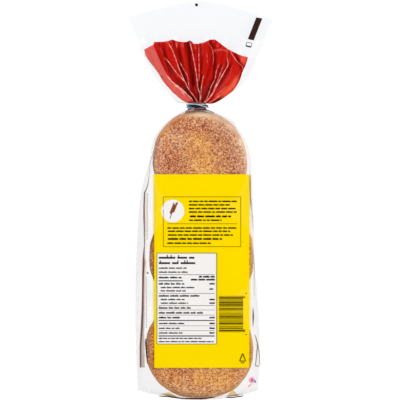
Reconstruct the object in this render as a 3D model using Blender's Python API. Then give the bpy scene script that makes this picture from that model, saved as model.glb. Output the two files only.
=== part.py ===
"""A clear film bag of six English muffins, closed at the neck with a twist tie.

The pack lies flat: +Z is up, the open end of the bag points along +Y and the back panel faces up.
The origin is the centre of its footprint, on the surface that it lies on.

The bag is one closed solid with the shape that the film takes. Two layers of three muffins fill it
up to the shoulders. The film bridges the dips between them, narrows to a neck, and fans out again
past the tie in a pleated skirt that comes down to the surface. The tie is a ribbon, wound twice
round the neck, with its two ends twisted together underneath.
"""

import math

import bpy
import numpy as np

# ---- driving dimensions, in metres -------------------------------------------------------------

PACK_LENGTH = 0.360
MUFFIN_HEIGHT = 0.028
LAYERS = 2
FILM_SLACK = 0.001  # room that the film leaves over the stack, in all
STACK_HEIGHT = LAYERS * MUFFIN_HEIGHT + FILM_SLACK
HALF_HEIGHT = STACK_HEIGHT / 2
CRUST_ROUNDING = 0.009  # how far a muffin's flat face stays inside its rim

# The muffins of one layer, from the bag's bottom up: centre x, centre y, half width, half length
# and squareness. The lower ones are pressed a little wide and square by the weight above them.
MUFFINS = (
    (-0.0011, -0.1341, 0.0482, 0.0445, 2.2),
    (0.0004, -0.0504, 0.0464, 0.0430, 2.3),
    (0.0004, 0.0370, 0.0430, 0.0430, 2.0),
)
DIP_DEPTH = 0.0022  # how far the upper film sinks between two muffins
DIP_LENGTH = 0.011

BOTTOM_Y = -PACK_LENGTH / 2
MOUTH_Y = PACK_LENGTH / 2
BOTTOM_BOW = 0.009  # how far the bottom corners lie above the bottom's middle
BOTTOM_BOW_LENGTH = 0.030
EDGE_HALF_THICKNESS = 0.0006  # the sealed edge down each side and along the bottom

# Half widths of the filled bag against y, left and right of its middle line.
BODY_LEFT = ((-0.180, 0.0566), (-0.120, 0.0585), (-0.045, 0.0576), (0.009, 0.0531),
             (0.036, 0.0462), (0.061, 0.0388), (0.0750, 0.0236), (0.0815, 0.0085))
BODY_RIGHT = ((-0.180, 0.0520), (-0.130, 0.0534), (-0.050, 0.0490), (0.018, 0.0464),
              (0.045, 0.0440), (0.064, 0.0346), (0.0750, 0.0242), (0.0815, 0.0085))

NECK_X = -0.0035  # the neck was gathered a little to the left
NECK_SHIFT_Y = 0.0700  # the middle line starts to move over to it here
NECK_START_Y = 0.0785  # the shoulders turn down into the neck here
GATHER_DEPTH = 0.0008  # of the creases in which the shoulders run into the neck
NECK_Y = 0.0815
NECK_END_Y = 0.0872
NECK_HALF_WIDTH = 0.0080
NECK_HALF_HEIGHT = 0.0080

# The skirt past the tie, against its run from 0 at the neck to 1 at the mouth.
SKIRT_LEFT = ((0.0, NECK_HALF_WIDTH), (0.06, 0.0159), (0.18, 0.0231), (0.40, 0.0392),
              (0.62, 0.0515), (1.0, 0.0666))
SKIRT_RIGHT = ((0.0, NECK_HALF_WIDTH), (0.06, 0.0136), (0.18, 0.0230), (0.40, 0.0409),
               (0.62, 0.0506), (1.0, 0.0666))
SKIRT_SHIFT_END = 0.60  # the run by which the skirt's middle is back on the bag's middle line
SKIRT_HALF_HEIGHT = ((0.0, NECK_HALF_HEIGHT), (0.15, 0.0100), (0.40, 0.0080), (1.0, 0.0024))
SKIRT_MIDDLE_Z = ((0.0, HALF_HEIGHT), (0.20, 0.0260), (0.60, 0.0140), (1.0, 0.0050))
SKIRT_LAG_LEFT = 0.0148  # how far the mouth's corners stay behind its middle
SKIRT_LAG_RIGHT = 0.0177
SKIRT_LAG_RATE = 7.2
SKIRT_LAG_POWER = ((0.0, 4.0), (0.30, 2.2), (1.0, 1.4))  # how far out across the skirt the lag sets in
PLEATS = 9
PLEAT_DEPTH = ((0.0, 0.0), (0.18, 0.0016), (0.60, 0.0018), (1.0, 0.0012))

# Where the film reaches far past the muffins it hangs straight, and close to them it bulges.
CLOSE_RUN, CLOSE_BULGE = 0.0105, 2.6
FAR_RUN, FAR_BULGE = 0.032, 1.15

TIE_WIDTH = 0.0026
TIE_THICKNESS = 0.0006
TIE_GAP = 0.0004  # between the tie and the film in its grip
TIE_Y = (NECK_Y + NECK_END_Y) / 2
TIE_SPREAD = 0.0015  # how far each of the two turns lies from the tie's middle
TIE_CROSSING_LIFT = 0.0005
TIE_CROSSING_ANGLE = math.radians(80)  # where the turns cross, from +X towards +Z
TAIL_LENGTH = 0.0105
TAIL_RADIUS = 0.00105
TAIL_LOBE = 0.00040
TAIL_TURNS = 2.25

# ---- how finely the solids are faceted ---------------------------------------------------------

POINTS_ACROSS = 41
BOTTOM_STATIONS = 7
FILLED_STATIONS = 21
SHOULDER_STATIONS = 7
SKIRT_STATIONS = 13
LOOP_CORNERS = 48
TIE_STATIONS = 112
TAIL_RINGS = 15
TAIL_CORNERS = 12


def clear_scene():
    """Removes every object that is in the file."""
    for old in list(bpy.data.objects):
        bpy.data.objects.remove(old)


def principled(name, colour, roughness, metallic=0.0):
    """One Principled material. The colour is linear red, green and blue."""
    material = bpy.data.materials.new(name)
    material.use_nodes = True
    shader = material.node_tree.nodes["Principled BSDF"]
    shader.inputs["Base Color"].default_value = (*colour, 1.0)
    shader.inputs["Roughness"].default_value = roughness
    shader.inputs["Metallic"].default_value = metallic
    return material


def add_object(name, vertices, faces, material):
    """A smooth shaded mesh object from numpy vertices and lists of corners."""
    mesh = bpy.data.meshes.new(name)
    mesh.from_pydata([tuple(map(float, v)) for v in vertices], [], faces)
    mesh.materials.append(material)
    mesh.shade_smooth()
    mesh.set_sharp_from_angle(angle=math.radians(50))
    made = bpy.data.objects.new(name, mesh)
    bpy.context.scene.collection.objects.link(made)
    return made


def smooth_curve(knots, at):
    """The value at each point of at on a cubic curve through (place, value) knots, level at its ends."""
    place, value = np.array(knots, float).T
    slope = np.gradient(value, place)
    at = np.clip(np.asarray(at, float), place[0], place[-1])
    k = np.clip(np.searchsorted(place, at, side="right") - 1, 0, len(place) - 2)
    gap = place[k + 1] - place[k]
    t = (at - place[k]) / gap
    rise = value[k + 1] - value[k]
    return (value[k] + t * gap * slope[k]
            + t**2 * (3 * rise - gap * (2 * slope[k] + slope[k + 1]))
            + t**3 * (gap * (slope[k] + slope[k + 1]) - 2 * rise))


def smooth_step(low, high, at):
    """0 below low, 1 above high, and an even S between them."""
    t = np.clip((np.asarray(at, float) - low) / (high - low), 0.0, 1.0)
    return t * t * (3 - 2 * t)


# ---- the filled bag seen from above ------------------------------------------------------------


def muffin_loop(muffin, inset=0.0):
    """The outline of one muffin as (x, y) corners, drawn in by inset."""
    x, y, half_width, half_length, squareness = muffin
    turn = np.linspace(0, 2 * math.pi, LOOP_CORNERS, endpoint=False)
    across, along = np.cos(turn), np.sin(turn)
    power = 2 / squareness
    return np.column_stack((
        x + (half_width - inset) * np.sign(across) * np.abs(across) ** power,
        y + (half_length - inset) * np.sign(along) * np.abs(along) ** power,
    ))


def hull(points):
    """The convex hull of (x, y) points, anticlockwise."""
    ordered = sorted(map(tuple, points))

    def chain(run):
        kept = []
        for p in run:
            while len(kept) > 1 and (
                (kept[-1][0] - kept[-2][0]) * (p[1] - kept[-2][1])
                <= (kept[-1][1] - kept[-2][1]) * (p[0] - kept[-2][0])
            ):
                kept.pop()
            kept.append(p)
        return kept[:-1]

    return np.array(chain(ordered) + chain(reversed(ordered)))


def distance_to(loop, points):
    """How far each (x, y) point is from a closed loop of corners."""
    step = np.roll(loop, -1, axis=0) - loop
    offset = points[:, None, :] - loop
    share = np.clip((offset * step).sum(2) / (step**2).sum(1), 0.0, 1.0)
    return np.linalg.norm(offset - share[..., None] * step, axis=2).min(1)


def inside(convex, points):
    """Whether each (x, y) point is in a convex anticlockwise loop."""
    step = np.roll(convex, -1, axis=0) - convex
    offset = points[:, None, :] - convex
    return (step[:, 0] * offset[..., 1] - step[:, 1] * offset[..., 0] >= 0).all(1)


def body_line(middle_y, across):
    """Plan points of one line across the filled bag. across runs from -1 at the left edge to 1."""
    left = smooth_curve(BODY_LEFT, middle_y)
    right = smooth_curve(BODY_RIGHT, middle_y)
    bow = BOTTOM_BOW * (1 - smooth_step(BOTTOM_Y, BOTTOM_Y + BOTTOM_BOW_LENGTH, middle_y))
    shift = NECK_X * smooth_step(NECK_SHIFT_Y, NECK_Y, middle_y)
    return np.column_stack((
        shift + np.where(across < 0, left, right) * across,
        middle_y + bow * across**2,
    ))


def body_outline():
    """The film's outline round the filled bag, as one loop of (x, y) corners."""
    heights = np.linspace(BOTTOM_Y, NECK_Y, LOOP_CORNERS)
    right = [body_line(y, np.array([1.0]))[0] for y in heights]
    left = [body_line(y, np.array([-1.0]))[0] for y in heights[::-1]]
    bottom = body_line(BOTTOM_Y, np.linspace(-1, 1, LOOP_CORNERS)[1:-1])
    return np.array([*bottom, *right, *left])


def filled_half_height(points, flat_top, outline):
    """Half of the bag's thickness: full over the muffins, and nothing at the outline."""
    past = np.where(inside(flat_top, points), 0.0, distance_to(flat_top, points))
    run = past + distance_to(outline, points)
    bulge = np.interp(run, (CLOSE_RUN, FAR_RUN), (CLOSE_BULGE, FAR_BULGE))
    share = past / np.maximum(run, 1e-9)
    return HALF_HEIGHT * np.maximum(1 - share**bulge, 0.0) ** (1 / bulge)


def dip_between_muffins(points):
    """How far the upper film sinks over the line where two muffins touch."""
    dip = np.zeros(len(points))
    for low, high in zip(MUFFINS, MUFFINS[1:]):
        contact = ((low[1] + low[3]) + (high[1] - high[3])) / 2
        reach = (low[2] + high[2]) / 2
        sideways = 0.6 + 0.4 * np.clip(np.abs(points[:, 0]) / reach, 0, 1) ** 2
        dip += DIP_DEPTH * sideways * np.exp(-((points[:, 1] - contact) / DIP_LENGTH) ** 2)
    return dip


# ---- the bag's stations ------------------------------------------------------------------------


def ellipse_share(across):
    """The height of a unit half circle over across, from -1 to 1."""
    return np.sqrt(np.maximum(1 - across**2, 0.0))


def pleats(turn, across):
    """The pleats' wave across the bag, from -1 to 1, which dies away at the two sides."""
    return np.cos(math.pi * PLEATS * turn) * ellipse_share(across)


def filled_station(middle_y, across, turn, flat_top, outline):
    """The upper and lower line of points across the filled bag."""
    plan = body_line(middle_y, across)
    half = filled_half_height(plan, flat_top, outline)
    into_neck = smooth_step(NECK_START_Y, NECK_Y, middle_y)
    half = half * (1 - into_neck) + NECK_HALF_HEIGHT * ellipse_share(across) * into_neck
    upper = np.maximum(half * (1 - dip_between_muffins(plan) / HALF_HEIGHT), EDGE_HALF_THICKNESS)
    lower = np.maximum(half, EDGE_HALF_THICKNESS)
    gathered = np.clip((middle_y - flat_top[:, 1].max()) / (NECK_Y - flat_top[:, 1].max()), 0, 1)
    plan[:, 1] += GATHER_DEPTH * math.sin(math.pi * gathered) * pleats(turn, across)
    return (np.column_stack((plan, HALF_HEIGHT + upper)),
            np.column_stack((plan, HALF_HEIGHT - lower)))


def neck_station(middle_y, across):
    """The neck in the tie's grip, an ellipse."""
    x = NECK_X + across * NECK_HALF_WIDTH
    y = np.full_like(x, middle_y)
    half = np.maximum(NECK_HALF_HEIGHT * ellipse_share(across), EDGE_HALF_THICKNESS)
    return (np.column_stack((x, y, HALF_HEIGHT + half)),
            np.column_stack((x, y, HALF_HEIGHT - half)))


def skirt_station(run, across, turn):
    """The pleated skirt, run from 0 at the neck to 1 at the mouth."""
    left = smooth_curve(SKIRT_LEFT, run)
    right = smooth_curve(SKIRT_RIGHT, run)
    lag = np.where(across < 0, SKIRT_LAG_LEFT, SKIRT_LAG_RIGHT) * (1 - math.exp(-SKIRT_LAG_RATE * run))
    shift = NECK_X * (1 - smooth_step(0.0, SKIRT_SHIFT_END, run))
    x = shift + np.where(across < 0, left, right) * across
    power = np.interp(run, *np.array(SKIRT_LAG_POWER).T)
    y = NECK_END_Y + run * (MOUTH_Y - NECK_END_Y) - lag * np.abs(across) ** power
    middle = smooth_curve(SKIRT_MIDDLE_Z, run) + smooth_curve(PLEAT_DEPTH, run) * pleats(turn, across)
    half = np.maximum(smooth_curve(SKIRT_HALF_HEIGHT, run) * ellipse_share(across), EDGE_HALF_THICKNESS)
    return (np.column_stack((x, y, middle + half)),
            np.column_stack((x, y, middle - half)))


def bag_stations():
    """Every station of the bag, from the bottom edge to the mouth."""
    turn = np.linspace(-1, 1, POINTS_ACROSS)
    across = np.sin(turn * math.pi / 2)
    flat_top = hull(np.vstack([muffin_loop(m, CRUST_ROUNDING) for m in MUFFINS]))
    outline = body_outline()
    flat_start = flat_top[:, 1].min()
    flat_end = flat_top[:, 1].max()
    quarter = np.linspace(0, math.pi / 2, BOTTOM_STATIONS, endpoint=False)
    heights = [*(BOTTOM_Y + (flat_start - BOTTOM_Y) * (1 - np.cos(quarter))),
               *np.linspace(flat_start, flat_end, FILLED_STATIONS, endpoint=False),
               *np.linspace(flat_end, NECK_Y, SHOULDER_STATIONS, endpoint=False)]
    stations = [filled_station(y, across, turn, flat_top, outline) for y in heights]
    stations += [neck_station(y, across) for y in (NECK_Y, NECK_END_Y)]
    stations += [skirt_station(run, across, turn) for run in
                 np.linspace(0, 1, SKIRT_STATIONS + 1)[1:]]
    return stations


def make_bag(material):
    """The film bag and what fills it, lofted through its stations and closed at both ends."""
    rings = [np.vstack((upper, lower[::-1])) for upper, lower in bag_stations()]
    around = len(rings[0])
    faces = []
    for k in range(len(rings) - 1):
        for i in range(around):
            j = (i + 1) % around
            faces.append((k * around + i, k * around + j, (k + 1) * around + j, (k + 1) * around + i))
    last = (len(rings) - 1) * around
    for i in range(POINTS_ACROSS - 1):
        j = around - 1 - i
        faces.append((i, j, j - 1, i + 1))
        faces.append((last + i, last + i + 1, last + j - 1, last + j))
    return add_object("bag", np.vstack(rings), faces, material)


# ---- the tie -----------------------------------------------------------------------------------


def ring_tube(rings, closed):
    """Faces between rings of equal size, joined end to end or capped."""
    count, around = len(rings), len(rings[0])
    faces = []
    for k in range(count if closed else count - 1):
        following = (k + 1) % count
        for i in range(around):
            j = (i + 1) % around
            faces.append((k * around + i, k * around + j, following * around + j, following * around + i))
    if not closed:
        faces.append(tuple(range(around))[::-1])
        faces.append(tuple((count - 1) * around + i for i in range(around)))
    return faces


def tie_rings():
    """Flat sections of the ribbon along its two turns, which cross once above the neck."""
    grip = TIE_GAP + TIE_THICKNESS / 2
    rings = []
    for turn in np.linspace(0, 4 * math.pi, TIE_STATIONS, endpoint=False):
        lift = grip + TIE_CROSSING_LIFT * (1 + math.sin(turn / 2))
        angle = turn - math.pi + TIE_CROSSING_ANGLE
        outward = np.array((math.cos(angle), 0.0, math.sin(angle)))
        middle = np.array((
            NECK_X + (NECK_HALF_WIDTH + lift) * outward[0],
            TIE_Y + TIE_SPREAD * math.cos(turn / 2),
            HALF_HEIGHT + (NECK_HALF_HEIGHT + lift) * outward[2],
        ))
        width = np.array((0.0, TIE_WIDTH / 2, 0.0))
        thick = outward * TIE_THICKNESS / 2
        rings.append([middle + width - thick, middle + width + thick,
                      middle - width + thick, middle - width - thick])
    return rings


def tail_rings():
    """The two ends, twisted together, hanging straight down from the ribbon."""
    top = HALF_HEIGHT - NECK_HALF_HEIGHT - TIE_GAP - TIE_THICKNESS / 4
    rings = []
    for share in np.linspace(0, 1, TAIL_RINGS):
        twist = 2 * math.pi * TAIL_TURNS * share
        ring = []
        for a in np.linspace(0, 2 * math.pi, TAIL_CORNERS, endpoint=False):
            radius = TAIL_RADIUS + TAIL_LOBE * math.cos(2 * (a - twist))
            ring.append((NECK_X + radius * math.cos(a), TIE_Y + TIE_SPREAD - radius * math.sin(a),
                         top - share * TAIL_LENGTH))
        rings.append(ring)
    return rings


def make_tie(material):
    """The ribbon with its twisted ends, joined into one solid."""
    ribbon = tie_rings()
    tie = add_object("tie", np.vstack(ribbon), ring_tube(ribbon, closed=True), material)
    ends = tail_rings()
    tail = add_object("tie_ends", np.vstack(ends), ring_tube(ends, closed=False), material)
    tail.hide_render = True
    tail.display_type = "WIRE"
    join = tie.modifiers.new("join_ends", "BOOLEAN")
    join.operation = "UNION"
    join.object = tail
    return tie


def main():
    """Builds the bag and its tie."""
    clear_scene()
    make_bag(principled("printed_film", (0.66, 0.36, 0.13), 0.25))
    make_tie(principled("coated_ribbon", (0.45, 0.66, 0.76), 0.35))


main()
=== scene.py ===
"""The looks of a clear film bag of English muffins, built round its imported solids.

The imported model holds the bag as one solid, and its tie. Here the bag becomes the clear film, the two
layers of muffins that it holds, the cornmeal on them and the print on the film. The tie becomes a flat
wired ribbon. The film follows the same few sizes as the solid, and everything else is placed on it.
"""

import math

import bpy
import numpy as np
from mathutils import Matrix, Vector, noise


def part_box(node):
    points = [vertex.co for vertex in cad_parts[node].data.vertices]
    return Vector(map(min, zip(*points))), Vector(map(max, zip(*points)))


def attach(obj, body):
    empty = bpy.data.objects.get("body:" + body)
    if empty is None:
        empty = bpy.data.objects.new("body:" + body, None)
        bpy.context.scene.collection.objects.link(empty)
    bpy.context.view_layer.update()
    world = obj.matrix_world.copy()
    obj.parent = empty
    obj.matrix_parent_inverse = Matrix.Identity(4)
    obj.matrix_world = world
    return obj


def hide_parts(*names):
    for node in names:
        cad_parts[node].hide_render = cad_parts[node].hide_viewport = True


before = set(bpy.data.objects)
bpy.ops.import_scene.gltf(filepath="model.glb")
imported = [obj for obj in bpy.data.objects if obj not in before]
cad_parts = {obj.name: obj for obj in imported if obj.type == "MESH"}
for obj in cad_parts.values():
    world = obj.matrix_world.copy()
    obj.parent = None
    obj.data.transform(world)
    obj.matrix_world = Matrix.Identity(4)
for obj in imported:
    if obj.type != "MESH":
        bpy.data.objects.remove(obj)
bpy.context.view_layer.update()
BAG_LOW, BAG_HIGH = (np.array(corner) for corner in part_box("bag"))
TIE_LOW, TIE_HIGH = (np.array(corner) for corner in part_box("tie"))

# ---- sizes and places, in metres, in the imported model's frame ------------------------------------

MM = 0.001
BOTTOM_Y, MOUTH_Y = BAG_LOW[1], BAG_HIGH[1]
HALF_HEIGHT = (BAG_HIGH[2] - BAG_LOW[2]) / 2
SKIRT_WIDTH = BAG_HIGH[0] - BAG_LOW[0]

# The muffins of one layer, from the bag's bottom up: centre x, centre y, half width, half length
# and squareness. The lower ones are pressed a little wide and square by the weight above them.
MUFFINS = (
    (-0.0011, -0.1341, 0.0482, 0.0445, 2.2),
    (0.0004, -0.0504, 0.0464, 0.0430, 2.3),
    (0.0004, 0.0370, 0.0430, 0.0430, 2.0),
)
# The muffins as they lie in that room: the same five sizes, and how far each leans for its length.
SHOWN_MUFFINS = (
    (-0.0009, -0.1341, 0.0484, 0.0445, 2.12, -0.020),
    (0.0009, -0.0510, 0.0469, 0.0392, 2.5, 0.0),
    (-0.0004, 0.0345, 0.0423, 0.0455, 2.08, -0.030),
)
MUFFIN_HEIGHT = 0.0276
CRUST_ROUNDING = 0.009  # how far a muffin's flat face stays inside its rim
LAYER_FLOORS = (0.0003, 0.0284)  # the undersides of the two layers

# The filled bag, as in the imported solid.
DIP_DEPTH = 0.0022
DIP_LENGTH = 0.011
BOTTOM_BOW = 0.009
BOTTOM_BOW_LENGTH = 0.030
EDGE_HALF_THICKNESS = 0.0003
NECK_X = (TIE_LOW[0] + TIE_HIGH[0]) / 2
NECK_Y, NECK_END_Y = 0.0815, 0.0872
NECK_SHIFT_Y = 0.0700
NECK_START_Y = 0.0800
NECK_HALF_WIDTH = 0.0080
NECK_HALF_HEIGHT = 0.0080
GATHER_DEPTH = 0.0008
BODY_LEFT = ((-0.180, 0.0566), (-0.120, 0.0585), (-0.045, 0.0576), (0.009, 0.0531),
             (0.036, 0.0462), (0.061, 0.0388), (0.0750, 0.0236), (0.0815, 0.0085))
BODY_RIGHT = ((-0.180, 0.0520), (-0.130, 0.0534), (-0.050, 0.0490), (0.018, 0.0464),
              (0.045, 0.0440), (0.064, 0.0346), (0.0750, 0.0242), (0.0815, 0.0085))
CLOSE_RUN, CLOSE_BULGE = 0.0105, 3.4
FAR_RUN, FAR_BULGE = 0.032, 1.15

# The skirt past the tie, against its run from 0 at the neck to 1 at the mouth.
SKIRT_LEFT = ((0.0, NECK_HALF_WIDTH), (0.06, 0.0159), (0.18, 0.0231), (0.40, 0.0392),
              (0.62, 0.0515), (1.0, SKIRT_WIDTH / 2))
SKIRT_RIGHT = ((0.0, NECK_HALF_WIDTH), (0.06, 0.0136), (0.18, 0.0230), (0.40, 0.0409),
               (0.62, 0.0506), (1.0, SKIRT_WIDTH / 2))
SKIRT_SHIFT_END = 0.60
SKIRT_HALF_HEIGHT = ((0.0, NECK_HALF_HEIGHT), (0.15, 0.0085), (0.40, 0.0060), (1.0, 0.0016))
SKIRT_MIDDLE_Z = ((0.0, HALF_HEIGHT), (0.20, 0.0260), (0.60, 0.0140), (1.0, 0.0050))
SKIRT_LAG_LEFT = 0.0148
SKIRT_LAG_RIGHT = 0.0177
SKIRT_LAG_RATE = 7.2
SKIRT_LAG_POWER = ((0.0, 4.0), (0.30, 2.2), (1.0, 1.4))
SKIRT_NOTCH = (0.70, 0.050, 0.0022)  # the run, half length and depth of the kink in its left edge
PLEATS = 9

# The skirt's sharp folds. Each has its path as (run, across) places, its width and height in
# millimetres, how far it leans, and how strong the painted highlight along its crest is.
UPPER_FOLDS = (
    (((0.03, -0.34), (0.125, -0.58), (0.212, -0.72), (0.30, -0.785), (0.36, -0.80)), 0.9, 1.2, 0.5, 1.5),
    (((0.08, -0.60), (0.17, -0.70), (0.25, -0.79)), 0.8, 0.9, 0.5, 1.1),
    (((0.00, -0.03), (0.05, -0.17), (0.12, -0.365), (0.215, -0.485), (0.305, -0.50), (0.39, -0.515),
      (0.49, -0.525), (0.575, -0.54), (0.65, -0.575)), 1.3, 2.0, 0.6, 1.0),
    (((0.20, -0.48), (0.255, -0.525), (0.367, -0.61), (0.46, -0.66), (0.517, -0.70)),
     1.1, 1.6, 0.6, 0.9),
    (((0.15, -0.33), (0.20, -0.325), (0.268, -0.315), (0.348, -0.38), (0.427, -0.435)),
     1.1, 1.3, -0.4, 0.75),
    (((0.02, 0.24), (0.062, 0.17), (0.15, -0.015), (0.22, -0.06), (0.307, -0.105), (0.42, -0.15),
      (0.525, -0.185), (0.62, -0.21)), 1.1, 1.8, 0.6, 1.0),
    (((0.22, 0.035), (0.30, 0.01), (0.42, -0.022), (0.56, -0.035)), 1.4, 1.0, 0.2, 0.75),
    (((0.00, 0.42), (0.04, 0.34), (0.095, 0.25), (0.175, 0.195), (0.275, 0.17)), 1.2, 1.5, -0.5, 0.9),
    (((0.39, 0.172), (0.50, 0.128)), 1.2, 0.8, 0.2, 0.60),
    (((0.40, 0.29), (0.468, 0.26), (0.537, 0.215), (0.60, 0.13)), 1.2, 1.2, 0.4, 0.70),
    (((0.00, 0.83), (0.05, 0.73), (0.173, 0.555), (0.253, 0.52), (0.338, 0.445), (0.415, 0.43)),
     1.1, 1.5, -0.5, 0.8),
    (((0.17, 0.70), (0.268, 0.60), (0.352, 0.535), (0.415, 0.52)), 1.1, 1.3, -0.5, 0.8),
    (((0.00, 0.88), (0.037, 0.82), (0.182, 0.705), (0.24, 0.66), (0.302, 0.62), (0.378, 0.605),
      (0.45, 0.60), (0.475, 0.57), (0.52, 0.52)), 1.3, 1.9, -0.6, 1.0),
    (((0.37, 0.72), (0.44, 0.672)), 1.1, 0.9, -0.4, 0.4),
    (((0.475, 0.87), (0.487, 0.84), (0.503, 0.74), (0.535, 0.64), (0.565, 0.56)),
     2.0, 1.6, -0.4, 1.5),
    (((0.04, 0.935), (0.12, 0.905), (0.20, 0.905)), 1.2, 1.0, -0.4, 0.7),
    (((0.14, 0.85), (0.208, 0.83), (0.27, 0.835)), 1.0, 0.8, -0.4, 0.5),
    (((0.57, -0.44), (0.64, -0.43)), 1.6, 1.0, 0.3, 0.75),
    (((0.57, -0.70), (0.64, -0.72)), 1.2, 0.8, 0.3, 0.35),
)
# Painted shade in the valleys between the folds, where the ink also lies in more layers, as path, width in
# millimetres and depth.
VALLEYS = (
    (((0.00, -0.10), (0.033, -0.215), (0.147, -0.39), (0.288, -0.425), (0.413, -0.45)), 2.0, 0.50),
    (((0.00, -0.22), (0.05, -0.33), (0.125, -0.49), (0.21, -0.58), (0.28, -0.62)), 2.0, 0.40),
    (((0.16, -0.16), (0.352, -0.21), (0.512, -0.23), (0.64, -0.235)), 1.5, 0.75),
    (((0.28, -0.21), (0.60, -0.25)), 3.0, 0.35),
    (((0.08, 0.70), (0.122, 0.65), (0.247, 0.50), (0.35, 0.375), (0.44, 0.31), (0.532, 0.25),
      (0.60, 0.175)), 1.7, 0.75),
    (((0.20, 0.755), (0.302, 0.665), (0.378, 0.645), (0.45, 0.635)), 1.3, 0.6),
    (((0.04, 0.80), (0.182, 0.63), (0.268, 0.565), (0.352, 0.495), (0.405, 0.475)), 0.9, 0.5),
    (((0.00, 0.24), (0.095, 0.13), (0.175, 0.10), (0.30, 0.075)), 1.8, 0.6),
    (((0.30, 0.075), (0.45, 0.03), (0.55, 0.02)), 1.5, 0.4),
    (((0.06, 0.955), (0.10, 0.975), (0.205, 0.965), (0.27, 0.965)), 0.7, 0.7),
    (((0.34, 0.93), (0.44, 0.87), (0.50, 0.868), (0.56, 0.862)), 0.6, 0.6),
    (((0.47, 0.83), (0.49, 0.79), (0.53, 0.72), (0.56, 0.66)), 2.0, 0.8),
    (((0.0, 0.60), (0.12, 0.50), (0.25, 0.42)), 1.6, 0.4),
    (((0.35, -0.70), (0.60, -0.66)), 1.6, 0.35),
    (((0.30, -0.37), (0.56, -0.41)), 1.6, 0.4),
    (((0.40, -0.77), (0.64, -0.77)), 0.7, 0.4),
)
# Where light comes through one turned layer of ink, and it looks orange.
GLOWS = (
    (((0.18, 0.935), (0.26, 0.925), (0.38, 0.855)), 2.0, 0.9),
    (((0.52, 0.83), (0.60, 0.80)), 2.2, 1.0),
    (((0.30, -0.33), (0.60, -0.33)), 1.4, 0.10),
)
# Where the gloss lies broad and pale over the ink.
GLARES = (
    (((0.515, 0.27), (0.55, 0.38), (0.568, 0.565)), 2.8, 0.36),
    (((0.18, 0.80), (0.27, 0.76), (0.37, 0.735)), 1.6, 0.16),
    (((0.30, -0.83), (0.64, -0.83)), 2.6, 0.16),
    (((0.285, 0.02), (0.305, 0.20)), 0.9, 0.16),
    (((0.52, -0.09), (0.58, -0.11)), 0.8, 0.30),
    (((0.46, 0.05), (0.59, 0.04)), 1.6, 0.16),
    (((0.08, -0.76), (0.24, -0.85)), 2.2, 0.10),
)
LOWER_FOLDS = (
    (((0.02, -0.60), (0.30, -0.66), (0.62, -0.63)), 3.0, 1.2, 0.4, 0.0),
    (((0.02, -0.32), (0.30, -0.36), (0.60, -0.35)), 3.0, 1.4, -0.4, 0.0),
    (((0.02, -0.08), (0.30, -0.06), (0.56, -0.08)), 3.0, 1.2, 0.4, 0.0),
    (((0.02, 0.26), (0.30, 0.24), (0.60, 0.20)), 3.0, 1.4, -0.4, 0.0),
    (((0.02, 0.52), (0.30, 0.47), (0.58, 0.44)), 3.0, 1.2, 0.4, 0.0),
    (((0.02, 0.76), (0.30, 0.74), (0.50, 0.72)), 3.0, 1.2, -0.4, 0.0),
)

# The red band's outlines on the two film layers: its edge towards the mouth as across against run,
# and its two sides as run against across.
UPPER_BAND_EDGE = ((-0.965, 0.630), (-0.94, 0.663), (-0.85, 0.670), (-0.79, 0.672), (-0.76, 0.695),
                   (-0.635, 0.668), (-0.555, 0.660), (-0.475, 0.662), (-0.395, 0.630),
                   (-0.305, 0.612), (-0.245, 0.608), (-0.20, 0.620), (-0.16, 0.608),
                   (-0.12, 0.580), (-0.045, 0.578), (0.065, 0.592), (0.17, 0.626), (0.255, 0.636),
                   (0.395, 0.600), (0.51, 0.578), (0.625, 0.572), (0.755, 0.574), (0.87, 0.592))
LOWER_BAND_EDGE = ((-0.82, 0.655), (-0.76, 0.680), (-0.635, 0.652), (-0.555, 0.642),
                   (-0.475, 0.642), (-0.395, 0.580), (-0.305, 0.562), (-0.245, 0.565),
                   (-0.16, 0.590), (-0.12, 0.535), (-0.045, 0.530), (0.03, 0.570), (0.17, 0.605),
                   (0.25, 0.610), (0.30, 0.570), (0.40, 0.548), (0.51, 0.540), (0.60, 0.548),
                   (0.66, 0.545), (0.75, 0.515), (0.85, 0.492))
UPPER_BAND_LEFT = ((0.0, -0.88), (0.02, -0.88), (0.07, -0.84), (0.13, -0.875), (0.19, -0.92),
                   (0.335, -0.93), (0.43, -0.92), (0.49, -0.93), (0.557, -0.96), (0.63, -0.965),
                   (0.70, -0.975))
UPPER_BAND_RIGHT = ((0.0, 0.97), (0.06, 0.99), (0.205, 0.99), (0.283, 0.988), (0.335, 0.955),
                    (0.388, 0.92), (0.438, 0.885), (0.50, 0.88), (0.557, 0.875), (0.60, 0.862))
LOWER_BAND_LEFT = ((0.0, -0.25), (0.033, -0.335), (0.125, -0.58), (0.212, -0.72), (0.30, -0.775),
                   (0.43, -0.79), (0.65, -0.79), (0.70, -0.775))
LOWER_BAND_RIGHT = ((0.0, 0.85), (0.10, 0.80), (0.20, 0.83), (0.30, 0.86), (0.417, 0.840),
                    (0.49, 0.835), (0.60, 0.835))

PANEL_LEFT, PANEL_RIGHT = -0.0414, 0.0437
PRINT_LEFT = -0.0410  # where the print on the panel is measured from
PANEL_TOP, PANEL_BOTTOM = 0.0230, -0.1503
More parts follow.
